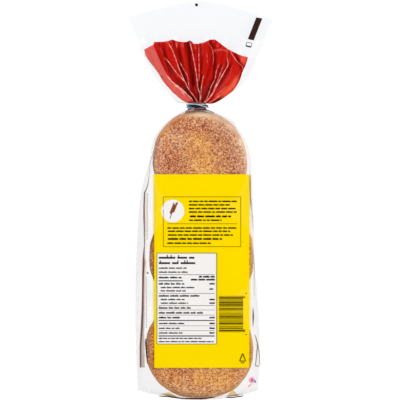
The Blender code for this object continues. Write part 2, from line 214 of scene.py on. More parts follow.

# How each muffin is toned, as round patches of centre x and y, reach along x and y, and strength:
# golden cornmeal, ruddy toast, pale and pinkish crust, the pale on the top muffin partly a painted
# sheen of the film, orange crust round the rim, painted shade on the top muffin's left edge, and
# painted yellow light from the panel on the sides of the others, dimmer in shade on the left.
TONES = {
    "golden": ((0.002, 0.036, 0.012, 0.018, 1.0), (0.012, 0.024, 0.010, 0.008, 0.6),
               (-0.004, 0.050, 0.012, 0.010, 0.5), (0.006, -0.160, 0.012, 0.007, 0.9),
               (0.022, -0.157, 0.012, 0.010, 0.7), (0.0, -0.163, 0.060, 0.020, 0.35),
               (-0.033, 0.060, 0.006, 0.010, 0.4)),
    "ruddy": ((-0.029, 0.032, 0.009, 0.018, 0.7), (0.031, 0.032, 0.008, 0.020, 0.6),
              (-0.008, 0.0665, 0.022, 0.006, 0.8), (-0.020, -0.158, 0.012, 0.008, 0.3),
              (0.016, 0.053, 0.008, 0.014, 0.6), (0.010, 0.062, 0.016, 0.006, 0.4),
              (-0.024, 0.064, 0.011, 0.007, 0.8)),
    # On the top muffin, partly a painted sheen of the film over the crust.
    "pale": ((-0.0215, 0.053, 0.008, 0.008, 0.9), (0.003, 0.076, 0.016, 0.0055, 0.9),
             (0.020, 0.067, 0.010, 0.006, 0.7), (-0.002, -0.170, 0.040, 0.007, 0.7),
             (0.034, -0.160, 0.012, 0.010, 0.4), (0.037, 0.050, 0.006, 0.020, 0.9)),
    "rosy": ((0.026, 0.060, 0.012, 0.012, 0.7), (0.034, 0.036, 0.008, 0.018, 0.6),
             (0.010, 0.078, 0.012, 0.005, 0.8)),
    "warm": ((-0.020, 0.071, 0.020, 0.010, 1.0), (-0.036, 0.050, 0.010, 0.016, 0.8),
             (-0.016, -0.160, 0.018, 0.009, 0.9)),
    # Painted shade on the top muffin's left edge, then painted yellow light from the panel on the sides, dim
    # in shade on the left and bright on the right.
    "left_edge_shade": ((-0.044, 0.022, 0.005, 0.030, 1.0), (-0.042, 0.050, 0.006, 0.010, 0.6)),
    "panel_light_left": ((-0.047, -0.050, 0.008, 0.040, 1.8), (-0.050, -0.132, 0.005, 0.030, 0.6)),
    "panel_light_right": ((0.047, -0.050, 0.007, 0.040, 1.6), (0.048, -0.132, 0.006, 0.022, 0.5)),
}
# How wide the smooth rim is, in millimetres, against the angle from the bag's right, anticlockwise.
SMOOTH_RIM = ((-3.1416, 1.0), (-2.4, 1.2), (-1.57, 2.4), (-0.8, 1.4), (0.0, 2.2), (0.8, 4.0), (1.25, 5.4),
              (1.57, 5.8), (1.9, 4.4), (2.2, 2.8), (2.6, 1.6), (3.1416, 1.0))

PRINT_LIFT = 0.0001  # each layer of ink over the one below it
CAMERA_DISTANCE = 6.0
CAMERA_X = -0.00045
LENS_MM = 600.0


# ---- small tools ---------------------------------------------------------------------------------


def srgb(colour):
    """The linear red, green, blue and alpha of an sRGB hex colour."""
    channels = [int(colour[k:k + 2], 16) / 255 for k in (1, 3, 5)]
    linear = [c / 12.92 if c <= 0.04045 else ((c + 0.055) / 1.055) ** 2.4 for c in channels]
    return (*linear, 1.0)


def add_node(tree, kind, inputs=None, **settings):
    """Adds a node with its settings, and sets or links its inputs, named or numbered."""
    made = tree.nodes.new(kind)
    for name, value in settings.items():
        setattr(made, name, value)
    for name, value in (inputs or {}).items():
        if isinstance(value, bpy.types.NodeSocket):
            tree.links.new(value, made.inputs[name])
        else:
            made.inputs[name].default_value = value
    return made


def new_material(name):
    """An empty node material, and its tree."""
    material = bpy.data.materials.new(name)
    material.use_nodes = True
    material.node_tree.nodes.clear()
    return material, material.node_tree


def colour_steps(tree, factor, steps):
    """A colour ramp on factor through (place, hex colour) steps."""
    ramp = add_node(tree, "ShaderNodeValToRGB", {"Fac": factor})
    marks = ramp.color_ramp.elements
    while len(marks) < len(steps):
        marks.new(0.5)
    for mark, (place, colour) in zip(marks, steps):
        mark.position = place
        mark.color = srgb(colour)
    return ramp.outputs["Color"]


def mixed(tree, factor, first, second):
    """The colour between first and second, at factor from 0 to 1."""
    return add_node(tree, "ShaderNodeMix", {"Factor": factor, "A": first, "B": second},
                    data_type="RGBA").outputs["Result"]


def scaled(tree, value, factor, offset=0.0):
    """value * factor + offset, kept between 0 and 1."""
    return add_node(tree, "ShaderNodeMath", {0: value, 1: factor, 2: offset},
                    operation="MULTIPLY_ADD", use_clamp=True).outputs[0]


def speckle(tree, size_mm, detail=2.0, rough=0.5):
    """Cloudy noise fixed to the piece, with spots of about the given size."""
    place = add_node(tree, "ShaderNodeTexCoord").outputs["Object"]
    return add_node(tree, "ShaderNodeTexNoise",
                    {"Vector": place, "Scale": 0.5 / (size_mm * MM), "Detail": detail,
                     "Roughness": rough}).outputs["Fac"]


def attribute(tree, name):
    """The number that a piece stores under a name."""
    return add_node(tree, "ShaderNodeAttribute", attribute_name=name).outputs["Fac"]


def smooth_curve(knots, at):
    """The value at each point of at on a cubic curve through (place, value) knots, level at its ends."""
    place, value = np.array(knots, float).T
    slope = np.gradient(value, place)
    at = np.clip(np.asarray(at, float), place[0], place[-1])
    k = np.clip(np.searchsorted(place, at, side="right") - 1, 0, len(place) - 2)
    gap = place[k + 1] - place[k]
    t = (at - place[k]) / gap
    rise = value[k + 1] - value[k]
    return (value[k] + t * gap * slope[k]
            + t**2 * (3 * rise - gap * (2 * slope[k] + slope[k + 1]))
            + t**3 * (gap * (slope[k] + slope[k + 1]) - 2 * rise))


def smooth_step(low, high, at):
    """0 below low, 1 above high, and an even S between them."""
    t = np.clip((np.asarray(at, float) - low) / (high - low), 0.0, 1.0)
    return t * t * (3 - 2 * t)


def link_mesh(name, vertices, faces, material, smooth=True):
    """A mesh object from vertices and lists of corners."""
    mesh = bpy.data.meshes.new(name)
    mesh.from_pydata([tuple(map(float, v)) for v in vertices], [], faces)
    if material:
        mesh.materials.append(material)
    if smooth:
        mesh.shade_smooth()
    made = bpy.data.objects.new(name, mesh)
    bpy.context.scene.collection.objects.link(made)
    return made


def grid_faces(rows, columns, wrap=False, flip=False):
    """Four-cornered faces between rows of points, each row closed on itself if wrap is set."""
    faces = []
    for r in range(rows - 1):
        for c in range(columns if wrap else columns - 1):
            d = (c + 1) % columns
            face = (r * columns + c, r * columns + d, (r + 1) * columns + d, (r + 1) * columns + c)
            faces.append(face[::-1] if flip else face)
    return faces


def set_attribute(piece, name, values, kind="FLOAT"):
    """Stores one number, or one vector, for each vertex under a name that nodes read."""
    layer = piece.data.attributes.new(name, kind, "POINT")
    layer.data.foreach_set("vector" if kind == "FLOAT_VECTOR" else "value",
                           np.asarray(values, np.float32).ravel())


def new_geometry_tree(name, inputs):
    """An empty Geometry Nodes tree with named inputs, and the sockets that they give inside it."""
    tree = bpy.data.node_groups.new(name, "GeometryNodeTree")
    tree.is_modifier = True
    tree.interface.new_socket("Geometry", in_out="OUTPUT", socket_type="NodeSocketGeometry")
    for label, kind in (("Geometry", "Geometry"), *inputs):
        tree.interface.new_socket(label, in_out="INPUT", socket_type="NodeSocket" + kind)
    return tree, add_node(tree, "NodeGroupInput").outputs


def named(tree, name, kind="FLOAT"):
    """The values that the geometry stores under a name."""
    return add_node(tree, "GeometryNodeInputNamedAttribute", {"Name": name},
                    data_type=kind).outputs["Attribute"]


def grown(name, source, tree, settings):
    """The plain mesh piece that a Geometry Nodes tree makes from a source object."""
    modifier = source.modifiers.new("grow", "NODES")
    modifier.node_group = tree
    for item in tree.interface.items_tree:
        if item.in_out == "INPUT" and item.name in settings:
            modifier[item.identifier] = settings[item.name]
    evaluated = source.evaluated_get(bpy.context.evaluated_depsgraph_get())
    mesh = bpy.data.meshes.new_from_object(evaluated)
    mesh.name = name
    source.modifiers.remove(modifier)
    bpy.data.objects.remove(source)
    made = bpy.data.objects.new(name, mesh)
    bpy.context.scene.collection.objects.link(made)
    return made


# ---- the shape of the filled bag -----------------------------------------------------------------


def muffin_loop(muffin, inset=0.0, corners=96):
    """The outline of one muffin as (x, y) corners, drawn in by inset."""
    x, y, half_width, half_length, squareness = muffin
    turn = np.linspace(0, 2 * math.pi, corners, endpoint=False)
    across, along = np.cos(turn), np.sin(turn)
    power = 2 / squareness
    return np.column_stack((
        x + (half_width - inset) * np.sign(across) * np.abs(across) ** power,
        y + (half_length - inset) * np.sign(along) * np.abs(along) ** power,
    ))


def hull(points):
    """The convex hull of (x, y) points, anticlockwise."""
    ordered = sorted(map(tuple, points))

    def chain(run):
        kept = []
        for p in run:
            while len(kept) > 1 and (
                (kept[-1][0] - kept[-2][0]) * (p[1] - kept[-2][1])
                <= (kept[-1][1] - kept[-2][1]) * (p[0] - kept[-2][0])
            ):
                kept.pop()
            kept.append(p)
        return kept[:-1]

    return np.array(chain(ordered) + chain(reversed(ordered)))


def distance_to(loop, points):
    """How far each (x, y) point is from a closed loop of corners."""
    step = np.roll(loop, -1, axis=0) - loop
    offset = points[:, None, :] - loop
    share = np.clip((offset * step).sum(2) / (step**2).sum(1), 0.0, 1.0)
    return np.linalg.norm(offset - share[..., None] * step, axis=2).min(1)


def inside(convex, points):
    """Whether each (x, y) point is in a convex anticlockwise loop."""
    step = np.roll(convex, -1, axis=0) - convex
    offset = points[:, None, :] - convex
    return (step[:, 0] * offset[..., 1] - step[:, 1] * offset[..., 0] >= 0).all(1)


def body_line(middle_y, across):
    """Plan points of one line across the filled bag. across runs from -1 at the left edge to 1."""
    left = smooth_curve(BODY_LEFT, middle_y)
    right = smooth_curve(BODY_RIGHT, middle_y)
    bow = BOTTOM_BOW * (1 - smooth_step(BOTTOM_Y, BOTTOM_Y + BOTTOM_BOW_LENGTH, middle_y))
    shift = NECK_X * smooth_step(NECK_SHIFT_Y, NECK_Y, middle_y)
    return np.column_stack((
        shift + np.where(across < 0, left, right) * across,
        middle_y + bow * across**2,
    ))


def body_outline(corners=120):
    """The film's outline round the filled bag, as one loop of (x, y) corners."""
    heights = np.linspace(BOTTOM_Y, NECK_Y, corners)
    right = [body_line(y, np.array([1.0]))[0] for y in heights]
    left = [body_line(y, np.array([-1.0]))[0] for y in heights[::-1]]
    bottom = body_line(BOTTOM_Y, np.linspace(-1, 1, corners)[1:-1])
    return np.array([*bottom, *right, *left])


FLAT_TOP = hull(np.vstack([muffin_loop(m, CRUST_ROUNDING) for m in MUFFINS]))
OUTLINE = body_outline()


def filled_half_height(points):
    """Half of the bag's thickness: full over the muffins, and nothing at the outline."""
    past = np.where(inside(FLAT_TOP, points), 0.0, distance_to(FLAT_TOP, points))
    run = past + distance_to(OUTLINE, points)
    bulge = np.interp(run, (CLOSE_RUN, FAR_RUN), (CLOSE_BULGE, FAR_BULGE))
    share = past / np.maximum(run, 1e-9)
    return HALF_HEIGHT * np.maximum(1 - share**bulge, 0.0) ** (1 / bulge)


def dip_between_muffins(points):
    """How far the upper film sinks over the line where two muffins touch."""
    dip = np.zeros(len(points))
    for low, high in zip(MUFFINS, MUFFINS[1:]):
        contact = ((low[1] + low[3]) + (high[1] - high[3])) / 2
        reach = (low[2] + high[2]) / 2
        sideways = 0.6 + 0.4 * np.clip(np.abs(points[:, 0]) / reach, 0, 1) ** 2
        dip += DIP_DEPTH * sideways * np.exp(-((points[:, 1] - contact) / DIP_LENGTH) ** 2)
    return dip


def ellipse_share(across):
    """The height of a unit half circle over across, from -1 to 1."""
    return np.sqrt(np.maximum(1 - across**2, 0.0))


def wrinkles(plan):
    """How far the slack film at the two sides and the bottom creases up, in long uneven lines."""
    out = np.abs(plan[:, 0] - 0.0003) / 0.050
    slack = smooth_step(0.78, 0.95, out) * (1 - smooth_step(1.05, 1.16, out))
    low = smooth_step(-0.150, -0.172, plan[:, 1])
    rise = np.zeros(len(plan))
    for k, (x, y) in enumerate(plan):
        along = noise.noise((x * 260, y * 26, 1.3))
        corner = noise.noise((x * 120, y * 190, 7.7))
        rise[k] = slack[k] * along * 1.3 * MM + low[k] * corner * 1.4 * MM
    return rise


def body_station(middle_y, across, turn):
    """The upper and lower line of points across the filled bag."""
    plan = body_line(middle_y, across)
    half = filled_half_height(plan)
    into_neck = smooth_step(NECK_START_Y, NECK_Y, middle_y)
    half = half * (1 - into_neck) + NECK_HALF_HEIGHT * ellipse_share(across) * into_neck
    upper = np.maximum(half * (1 - dip_between_muffins(plan) / HALF_HEIGHT), EDGE_HALF_THICKNESS)
    creased = np.minimum(wrinkles(plan), HALF_HEIGHT - upper)
    upper = np.maximum(upper + creased, EDGE_HALF_THICKNESS)
    lower = np.maximum(half, EDGE_HALF_THICKNESS)
    gathered = np.clip((middle_y - FLAT_TOP[:, 1].max()) / (NECK_Y - FLAT_TOP[:, 1].max()), 0, 1)
    pleat = 0.5 * (1 + np.cos(math.pi * PLEATS * turn)) * ellipse_share(across)
    plan[:, 1] += GATHER_DEPTH * math.sin(math.pi * gathered) * pleat
    return (np.column_stack((plan, HALF_HEIGHT + upper)),
            np.column_stack((plan, HALF_HEIGHT - lower)))


# ---- the shape of the skirt ----------------------------------------------------------------------


def along_path(path, run):
    """Where a fold's path crosses each run, and how alive the fold is there: 1 along it, 0 past its ends."""
    start, end = path[0][0], path[-1][0]
    fade = min(0.035, 0.3 * (end - start))
    alive = (smooth_step(start - fade, start + fade, run) if start > 0 else np.ones_like(run))
    return smooth_curve(path, run), alive * (1 - smooth_step(end - fade, end + fade, run))


def fold_shape(folds, across, run, wide):
    """The lean and the height of the skirt's folds, in metres, and the painted highlight along their crests,
    as a share.
    """
    lean, rise, crease_glint = (np.zeros_like(across) for _ in range(3))
    for path, width, height, sideways, glint in folds:
        middle, alive = along_path(path, run)
        off = (across - middle) * wide / MM
        peak = np.exp(-(np.abs(off) / width) ** 1.35) * alive
        lean += height * sideways * peak * MM
        rise = np.maximum(rise, height * peak * MM)
        ragged = 0.75 + 0.25 * np.sin(37 * run + 9 * middle) * np.sin(91 * run)
        crease_glint = np.maximum(crease_glint, glint * alive * ragged * np.exp(-(off / 0.38) ** 2))
    return lean, rise, crease_glint


def skirt_points(folds, across, run, side):
    """Points of one film layer of the skirt, side 1 for the upper and -1 for the lower, and the painted
    highlight along its creases.
    """
    across, run = np.broadcast_arrays(np.asarray(across, float), np.asarray(run, float))
    wide = np.where(across < 0, smooth_curve(SKIRT_LEFT, run), smooth_curve(SKIRT_RIGHT, run))
    notch_run, notch_length, notch_depth = SKIRT_NOTCH
    kink = np.sin(np.clip((run - notch_run) / notch_length, -1, 1) * math.pi)
    wide = wide - np.where(across < 0, notch_depth * kink * np.abs(across) ** 12, 0.0)
    lean, rise, crease_glint = fold_shape(folds, across, run, wide)
    round_over = ellipse_share(across)
    lag = np.where(across < 0, SKIRT_LAG_LEFT, SKIRT_LAG_RIGHT) * (1 - np.exp(-SKIRT_LAG_RATE * run))
    power = np.interp(run, *np.array(SKIRT_LAG_POWER).T)
    wave = np.cos(math.pi * PLEATS * 2 / math.pi * np.arcsin(np.clip(across, -1, 1)))
    shift = NECK_X * (1 - smooth_step(0.0, SKIRT_SHIFT_END, run))
    x = shift + wide * across + lean * round_over
    y = NECK_END_Y + run * (MOUTH_Y - NECK_END_Y) - lag * np.abs(across) ** power
    thick = smooth_curve(SKIRT_HALF_HEIGHT, run) * round_over
    swell = 0.0010 * smooth_step(0.05, 0.4, run) * (1 - smooth_step(0.6, 0.9, run)) * wave
    z = (smooth_curve(SKIRT_MIDDLE_Z, run) + side * (thick + EDGE_HALF_THICKNESS)
         + (swell + side * rise * smooth_step(0.0, 0.05, run)) * round_over)
    return np.stack((x, y, z), axis=-1), crease_glint, wide


# ---- materials -----------------------------------------------------------------------------------


def thin_gloss(tree, under, reflect, roughness, flat_on=1.0):
    """Lays a film's clear gloss over a shader, stronger where the film is seen at a flat angle."""
    facing = add_node(tree, "ShaderNodeLayerWeight", {"Blend": 0.5}).outputs["Facing"]
    steep = add_node(tree, "ShaderNodeMath", {0: facing, 1: 5.0}, operation="POWER").outputs[0]
    shine = add_node(tree, "ShaderNodeBsdfAnisotropic",
                     {"Color": (1, 1, 1, 1), "Roughness": roughness}).outputs[0]
    return add_node(tree, "ShaderNodeMixShader",
                    {0: scaled(tree, steep, flat_on - reflect, reflect), 1: under, 2: shine}).outputs[0]


def finish_material(tree, shader):
    """Joins a shader to the material's output."""
    add_node(tree, "ShaderNodeOutputMaterial", {"Surface": shader})


def polyethylene_film():
    """Blown polyethylene film: clear with a faint milky haze, which shows where it turns away."""
    material, tree = new_material("polyethylene_film")
    facing = add_node(tree, "ShaderNodeLayerWeight", {"Blend": 0.5}).outputs["Facing"]
    steep = add_node(tree, "ShaderNodeMath", {0: facing, 1: 2.5}, operation="POWER").outputs[0]
    clear = add_node(tree, "ShaderNodeBsdfTransparent", {"Color": srgb("#f9fafb")}).outputs[0]
    milky = add_node(tree, "ShaderNodeBsdfDiffuse", {"Color": srgb("#e2e4e8")}).outputs[0]
    body = add_node(tree, "ShaderNodeMixShader",
                    {0: scaled(tree, steep, 0.45, 0.006), 1: clear, 2: milky}).outputs[0]
    finish_material(tree, thin_gloss(tree, body, 0.025, 0.12))
    return material


def red_gravure_ink():
    """Red gravure ink on film: translucent, and deeper where gathers lie on each other; its shade also holds
    painted shade in the valleys and on the flanks, with pale painted highlights along the creases and orange
    painted light where light comes through one layer.
    """
    material, tree = new_material("red_gravure_ink")
    crease_glint, shade = attribute(tree, "crease_glint"), attribute(tree, "shade")
    # shade: deeper red where layers lie together, and painted shade in the valleys, on the flanks and near
    # the neck.
    deep = colour_steps(tree, shade, ((0.0, "#cc1a10"), (0.26, "#cf150a"), (0.48, "#9c0a08"),
                                      (0.75, "#6a0604"), (1.0, "#3c0303")))
    lit = mixed(tree, attribute(tree, "glow"), deep, srgb("#f0522c"))
    glint_colour = colour_steps(tree, crease_glint, ((0.0, "#c8150c"), (0.45, "#e2685a"), (1.0, "#ffdcd2")))
    # Pale painted highlights along the creases, and where the gloss lies broad.
    glint = mixed(tree, scaled(tree, crease_glint, 2.2), lit, glint_colour)
    ink = add_node(tree, "ShaderNodeBsdfDiffuse", {"Color": glint}).outputs[0]
    clear = add_node(tree, "ShaderNodeBsdfTransparent", {"Color": srgb("#ffa397")}).outputs[0]
    body = add_node(tree, "ShaderNodeMixShader",
                    {0: scaled(tree, shade, 1.1, 0.60), 1: clear, 2: ink}).outputs[0]
    finish_material(tree, thin_gloss(tree, body, 0.003, 0.12, 0.3))
    return material


def flat_ink(name, colour, cover, patchiness=0.05):
    """A solid printed ink of one colour, cover being how much of what lies behind it is hidden."""
    material, tree = new_material(name)
    base = srgb(colour)
    dark = tuple(c * (1 - patchiness) for c in base[:3]) + (1.0,)
    tone = mixed(tree, speckle(tree, 18, 3.0), base, dark)
    ink = add_node(tree, "ShaderNodeBsdfPrincipled",
                   {"Base Color": tone, "Roughness": 0.6, "Specular IOR Level": 0.0}).outputs[0]
    clear = add_node(tree, "ShaderNodeBsdfTransparent", {"Color": (1, 1, 1, 1)}).outputs[0]
    finish_material(tree, add_node(tree, "ShaderNodeMixShader", {0: cover, 1: clear, 2: ink}).outputs[0])
    return material


def tinted_film(name, colour):
    """Film under one thin, clear coat of ink, which only colours what shows through it."""
    material, tree = new_material(name)
    finish_material(tree, add_node(tree, "ShaderNodeBsdfTransparent", {"Color": srgb(colour)}).outputs[0])
    return material


def gathered_film():
    """Many layers of film, gathered: mauve brown deepened by painted shade, with painted shade in the pleats
    and painted highlights along pale ones.
    """
    material, tree = new_material("gathered_film")
    ground = colour_steps(tree, speckle(tree, 1.2, 2.0),
                          ((0.35, "#a4706c"), (0.5, "#b88a84"), (0.65, "#caa29a")))
    toned = mixed(tree, attribute(tree, "pleat_highlight"), ground, srgb("#f2d2ca"))
    toned = mixed(tree, attribute(tree, "pleat_shade"), toned, srgb("#20080c"))
    layers = add_node(tree, "ShaderNodeBsdfDiffuse", {"Color": toned}).outputs[0]
    clear = add_node(tree, "ShaderNodeBsdfTransparent", {"Color": (1, 1, 1, 1)}).outputs[0]
    finish_material(tree, add_node(tree, "ShaderNodeMixShader",
                                   {0: attribute(tree, "gathered"), 1: clear, 2: layers}).outputs[0])
    return material


def griddled_crust():
    """Griddled yeast dough: a toasted, pitted face under cornmeal, and a smooth tan rim."""
    material, tree = new_material("griddled_crust")
    toast = attribute(tree, "toast")
    face = colour_steps(tree, speckle(tree, 9, 4.0, 0.6),
                        ((0.32, "#c46a3a"), (0.46, "#d8824a"), (0.58, "#e29052"), (0.70, "#eca260")))
    side = colour_steps(tree, speckle(tree, 5, 3.0), ((0.3, "#cc8c54"), (0.5, "#d89c64"), (0.7, "#e2ae7a")))
    # The last three are painted light: shade on a left edge and yellow light from the panel on the sides;
    # pale is partly a painted sheen of the film.
    for label, on_face, on_side in (("ruddy", "#c05c30", "#cc7438"), ("rosy", "#c8886c", "#f8bc9c"),
                                    ("warm", "#d87c3c", "#e4883a"), ("pale", "#f4be92", "#ffd8b0"),
                                    ("golden", "#f6b050", "#e0a45c"), ("left_edge_shade", "#b07850", "#a88058"),
                                    ("panel_light_left", "#9c580c", "#a05c10"), ("panel_light_right", "#dea62c", "#e4ac30")):
        amount = attribute(tree, label)
        face = mixed(tree, amount, face, srgb(on_face))
        side = mixed(tree, amount, side, srgb(on_side))
    fine = speckle(tree, 0.72, 2.5, 0.7)
    pits = colour_steps(tree, fine, ((0.34, "#94563a"), (0.44, "#d2a488"), (0.50, "#ffffff")))
    pitted = add_node(tree, "ShaderNodeMix", {"Factor": 1.0, "A": face, "B": pits}, data_type="RGBA",
                      blend_type="MULTIPLY").outputs["Result"]
    speckled = mixed(tree, scaled(tree, fine, 9.0, -4.95), pitted, srgb("#ffdcae"))
    relief = add_node(tree, "ShaderNodeBump",
                      {"Strength": scaled(tree, toast, 0.65, 0.05), "Distance": 0.5 * MM,
                       "Height": fine}).outputs[0]
    crust = add_node(tree, "ShaderNodeBsdfPrincipled",
                     {"Base Color": mixed(tree, attribute(tree, "rim_shade"),
                                          mixed(tree, toast, side, speckled), srgb("#7c4c28")),
                      "Roughness": 0.82,
                      "Normal": relief, "Specular IOR Level": 0.12}).outputs[0]
    finish_material(tree, crust)
    return material


def ground_maize():
    """Coarse ground maize: hard, matt grains from toasted brown to cream, and golden in places."""
    material, tree = new_material("ground_maize")
    tone, golden = attribute(tree, "grain_tone"), attribute(tree, "grain_golden")
    plain = colour_steps(tree, tone, ((0.0, "#803414"), (0.20, "#a85428"), (0.26, "#dd9256"),
                                      (0.62, "#ecb078"), (0.88, "#fad6a4"), (1.0, "#fff0d4")))
    yellow = colour_steps(tree, tone, ((0.0, "#a85a18"), (0.2, "#e0902c"), (0.6, "#fbbf58"),
                                       (1.0, "#ffeab0")))
    grain = add_node(tree, "ShaderNodeBsdfPrincipled",
                     {"Base Color": mixed(tree, golden, plain, yellow), "Roughness": 0.6,
                      "Specular IOR Level": 0.3}).outputs[0]
    finish_material(tree, grain)
    return material


def coated_tie_ribbon():
    """Plastic-coated wire ribbon: nearly white on its wings, and painted shade from blue to black deep
    inside them.
    """
    material, tree = new_material("coated_tie_ribbon")
    pale = colour_steps(tree, speckle(tree, 1.6), ((0.35, "#94bccc"), (0.5, "#ccd8e0"), (0.65, "#e8edf1")))
    deep = colour_steps(tree, attribute(tree, "shade"),
                        ((0.0, "#dfeaf0"), (0.3, "#74aec6"), (0.5, "#1f6078"), (0.8, "#0c2530"),
                         (1.0, "#04080c")))
    colour = mixed(tree, scaled(tree, attribute(tree, "shade"), 5.0), pale, deep)
    ribbon = add_node(tree, "ShaderNodeBsdfPrincipled",
                      {"Base Color": colour, "Roughness": 0.45, "Specular IOR Level": 0.2}).outputs[0]
    finish_material(tree, ribbon)
    return material


# ---- the muffins ---------------------------------------------------------------------------------


def tone_at(patches, x, y):
    """How strongly soft round patches of (x, y, reach x, reach y, strength) tone a place."""
    total = sum(strength * math.exp(-((x - place_x) / reach_x) ** 2 - ((y - place_y) / reach_y) ** 2)
                for place_x, place_y, reach_x, reach_y, strength in patches)
    return min(total, 1.0)


def muffin_rings(muffin, corners):
    """Rings from the middle of a muffin's upper face to the middle of its lower one: the corners of
    the ring, its height from half way up, and how far inside the rim it lies."""
    middle = np.array(muffin[:2])
    half, reach = MUFFIN_HEIGHT / 2, min(muffin[2], muffin[3])
    flat = muffin_loop(muffin[:5], CRUST_ROUNDING, corners)
    rings = [(middle + (flat - middle) * share, half, reach - (reach - CRUST_ROUNDING) * share)
             for share in np.linspace(0.04, 1.0, 22)]
    for angle in np.linspace(0, math.pi / 2, 13)[1:]:
        inset = CRUST_ROUNDING * (1 - math.sin(angle))
        rings.append((muffin_loop(muffin[:5], inset, corners), half * math.cos(angle) ** 0.75, inset))
    rings += [(loop, -height, inset) for loop, height, inset in rings[-2::-1]]
    for loop, _, _ in rings[:len(rings) // 2 + 1]:
        loop[:, 0] += muffin[5] * (loop[:, 1] - middle[1])
    return rings


def make_muffin(name, muffin, floor_z, seed, material):
    """One muffin: a flat disc of dough with rounded rims, uneven all over, toasted on both faces."""
    corners = 144
    middle = np.array(muffin[:2])
    half = MUFFIN_HEIGHT / 2
    rings = muffin_rings(muffin, corners)
    from_rim = min(muffin[2], muffin[3]) - CRUST_ROUNDING
    vertices, marks = [], {label: [] for label in ("toast", "rim_shade", *TONES)}
    for loop, height, inset in rings:
        for x, y in loop:
            place = Vector((x, y, height + floor_z)) / (14 * MM) + Vector((seed * 7.1, 0, 0))
            swell = noise.noise(place) * 0.5 + noise.noise(place * 3.1) * 0.22
            out = (np.array((x, y)) - middle) / from_rim
            wall = 1 - abs(height) / half
            vertices.append((x + out[0] * wall * swell * 0.9 * MM, y + out[1] * wall * swell * 0.9 * MM,
                             floor_z + half + height - (1 - wall) * np.sign(height)
                             * (0.35 - 0.55 * swell) * MM))
            smooth = np.interp(math.atan2(out[1], out[0]), *np.array(SMOOTH_RIM).T) * MM
            ragged = noise.noise(place * 1.7 + Vector((0, 0, 9))) * 2.2 * MM
            marks["toast"].append(float(smooth_step(smooth - 1.6 * MM, smooth + 1.6 * MM, inset + ragged)))
            marks["rim_shade"].append(float((0.34 - 0.18 * out[0])
                                            * (1 - smooth_step(0.2 * MM, 1.5 * MM, inset))))
            cloud = 1 + 0.9 * noise.noise(place * 2.2 + Vector((3, 0, 0)))
            for label, patches in TONES.items():
                marks[label].append(min(tone_at(patches, x, y) * cloud, 1.0))
    faces = grid_faces(len(rings), corners, wrap=True, flip=True)
    top, last = len(vertices), (len(rings) - 1) * corners
    vertices += [(*middle, floor_z + MUFFIN_HEIGHT - 0.35 * MM), (*middle, floor_z + 0.35 * MM)]
    for values in marks.values():
        values += [values[0], values[last]]
    for c in range(corners):
        d = (c + 1) % corners
        faces.append((top, c, d))
        faces.append((top + 1, last + d, last + c))
    piece = link_mesh(name, vertices, faces, material)
    for label, values in marks.items():
        set_attribute(piece, label, values)
    return piece


def make_muffins(material):
    """The two layers of three muffins, each a little different."""
    pieces = []
    for layer, floor_z in zip(("lower", "upper"), LAYER_FLOORS):
        for row, muffin in zip(("bottom", "middle", "top"), SHOWN_MUFFINS):
            pieces.append(make_muffin(f"muffin_{row}_{layer}", muffin, floor_z, len(pieces), material))
    return pieces


# ---- cornmeal ------------------------------------------------------------------------------------


def cornmeal_tree():
    """Geometry Nodes that scatter uneven grains over the faces of a mesh, by its own cover."""
    tree, given = new_geometry_tree("scatter_cornmeal", (
        ("Grains per Square Metre", "Float"), ("Grain Radius", "Float"), ("Seed", "Int"),
        ("Grain Material", "Material")))
    density = add_node(tree, "ShaderNodeMath",
                       {0: given["Grains per Square Metre"], 1: named(tree, "grain_cover")},
                       operation="MULTIPLY").outputs[0]
    points = add_node(tree, "GeometryNodeDistributePointsOnFaces",
                      {"Mesh": given["Geometry"], "Density": density, "Seed": given["Seed"]}).outputs
    tone = add_node(tree, "FunctionNodeRandomValue", {"Seed": 3}, data_type="FLOAT")
    toned = add_node(tree, "GeometryNodeStoreNamedAttribute",
                     {"Geometry": points["Points"], "Name": "grain_tone",
                      "Value": tone.outputs[1]}, data_type="FLOAT", domain="POINT")
    grain = add_node(tree, "GeometryNodeMeshIcoSphere", {"Radius": 1.0, "Subdivisions": 1})
    size = add_node(tree, "FunctionNodeRandomValue",
                    {0: (0.55, 0.50, 0.30), 1: (1.25, 0.95, 0.60), "Seed": 5},
                    data_type="FLOAT_VECTOR")
    sized = add_node(tree, "ShaderNodeVectorMath",
                     {0: size.outputs[0], "Scale": given["Grain Radius"]}, operation="SCALE")
    spin = add_node(tree, "FunctionNodeRandomValue",
                    {0: (-0.4, -0.4, 0.0), 1: (0.4, 0.4, 6.28), "Seed": 8}, data_type="FLOAT_VECTOR")
    placed = add_node(tree, "GeometryNodeInstanceOnPoints",
                      {"Points": toned.outputs[0], "Instance": grain.outputs[0],
                       "Rotation": spin.outputs[0], "Scale": sized.outputs[0]})
    real = add_node(tree, "GeometryNodeRealizeInstances", {"Geometry": placed.outputs[0]})
    covered = add_node(tree, "GeometryNodeSetMaterial",
                       {"Geometry": real.outputs[0], "Material": given["Grain Material"]})
    add_node(tree, "NodeGroupOutput", {"Geometry": covered.outputs[0]})
    return tree


def stored(piece, name):
    """The numbers that a piece stores for its vertices under a name."""
    values = np.zeros(len(piece.data.vertices), np.float32)
    piece.data.attributes[name].data.foreach_get("value", values)
    return values


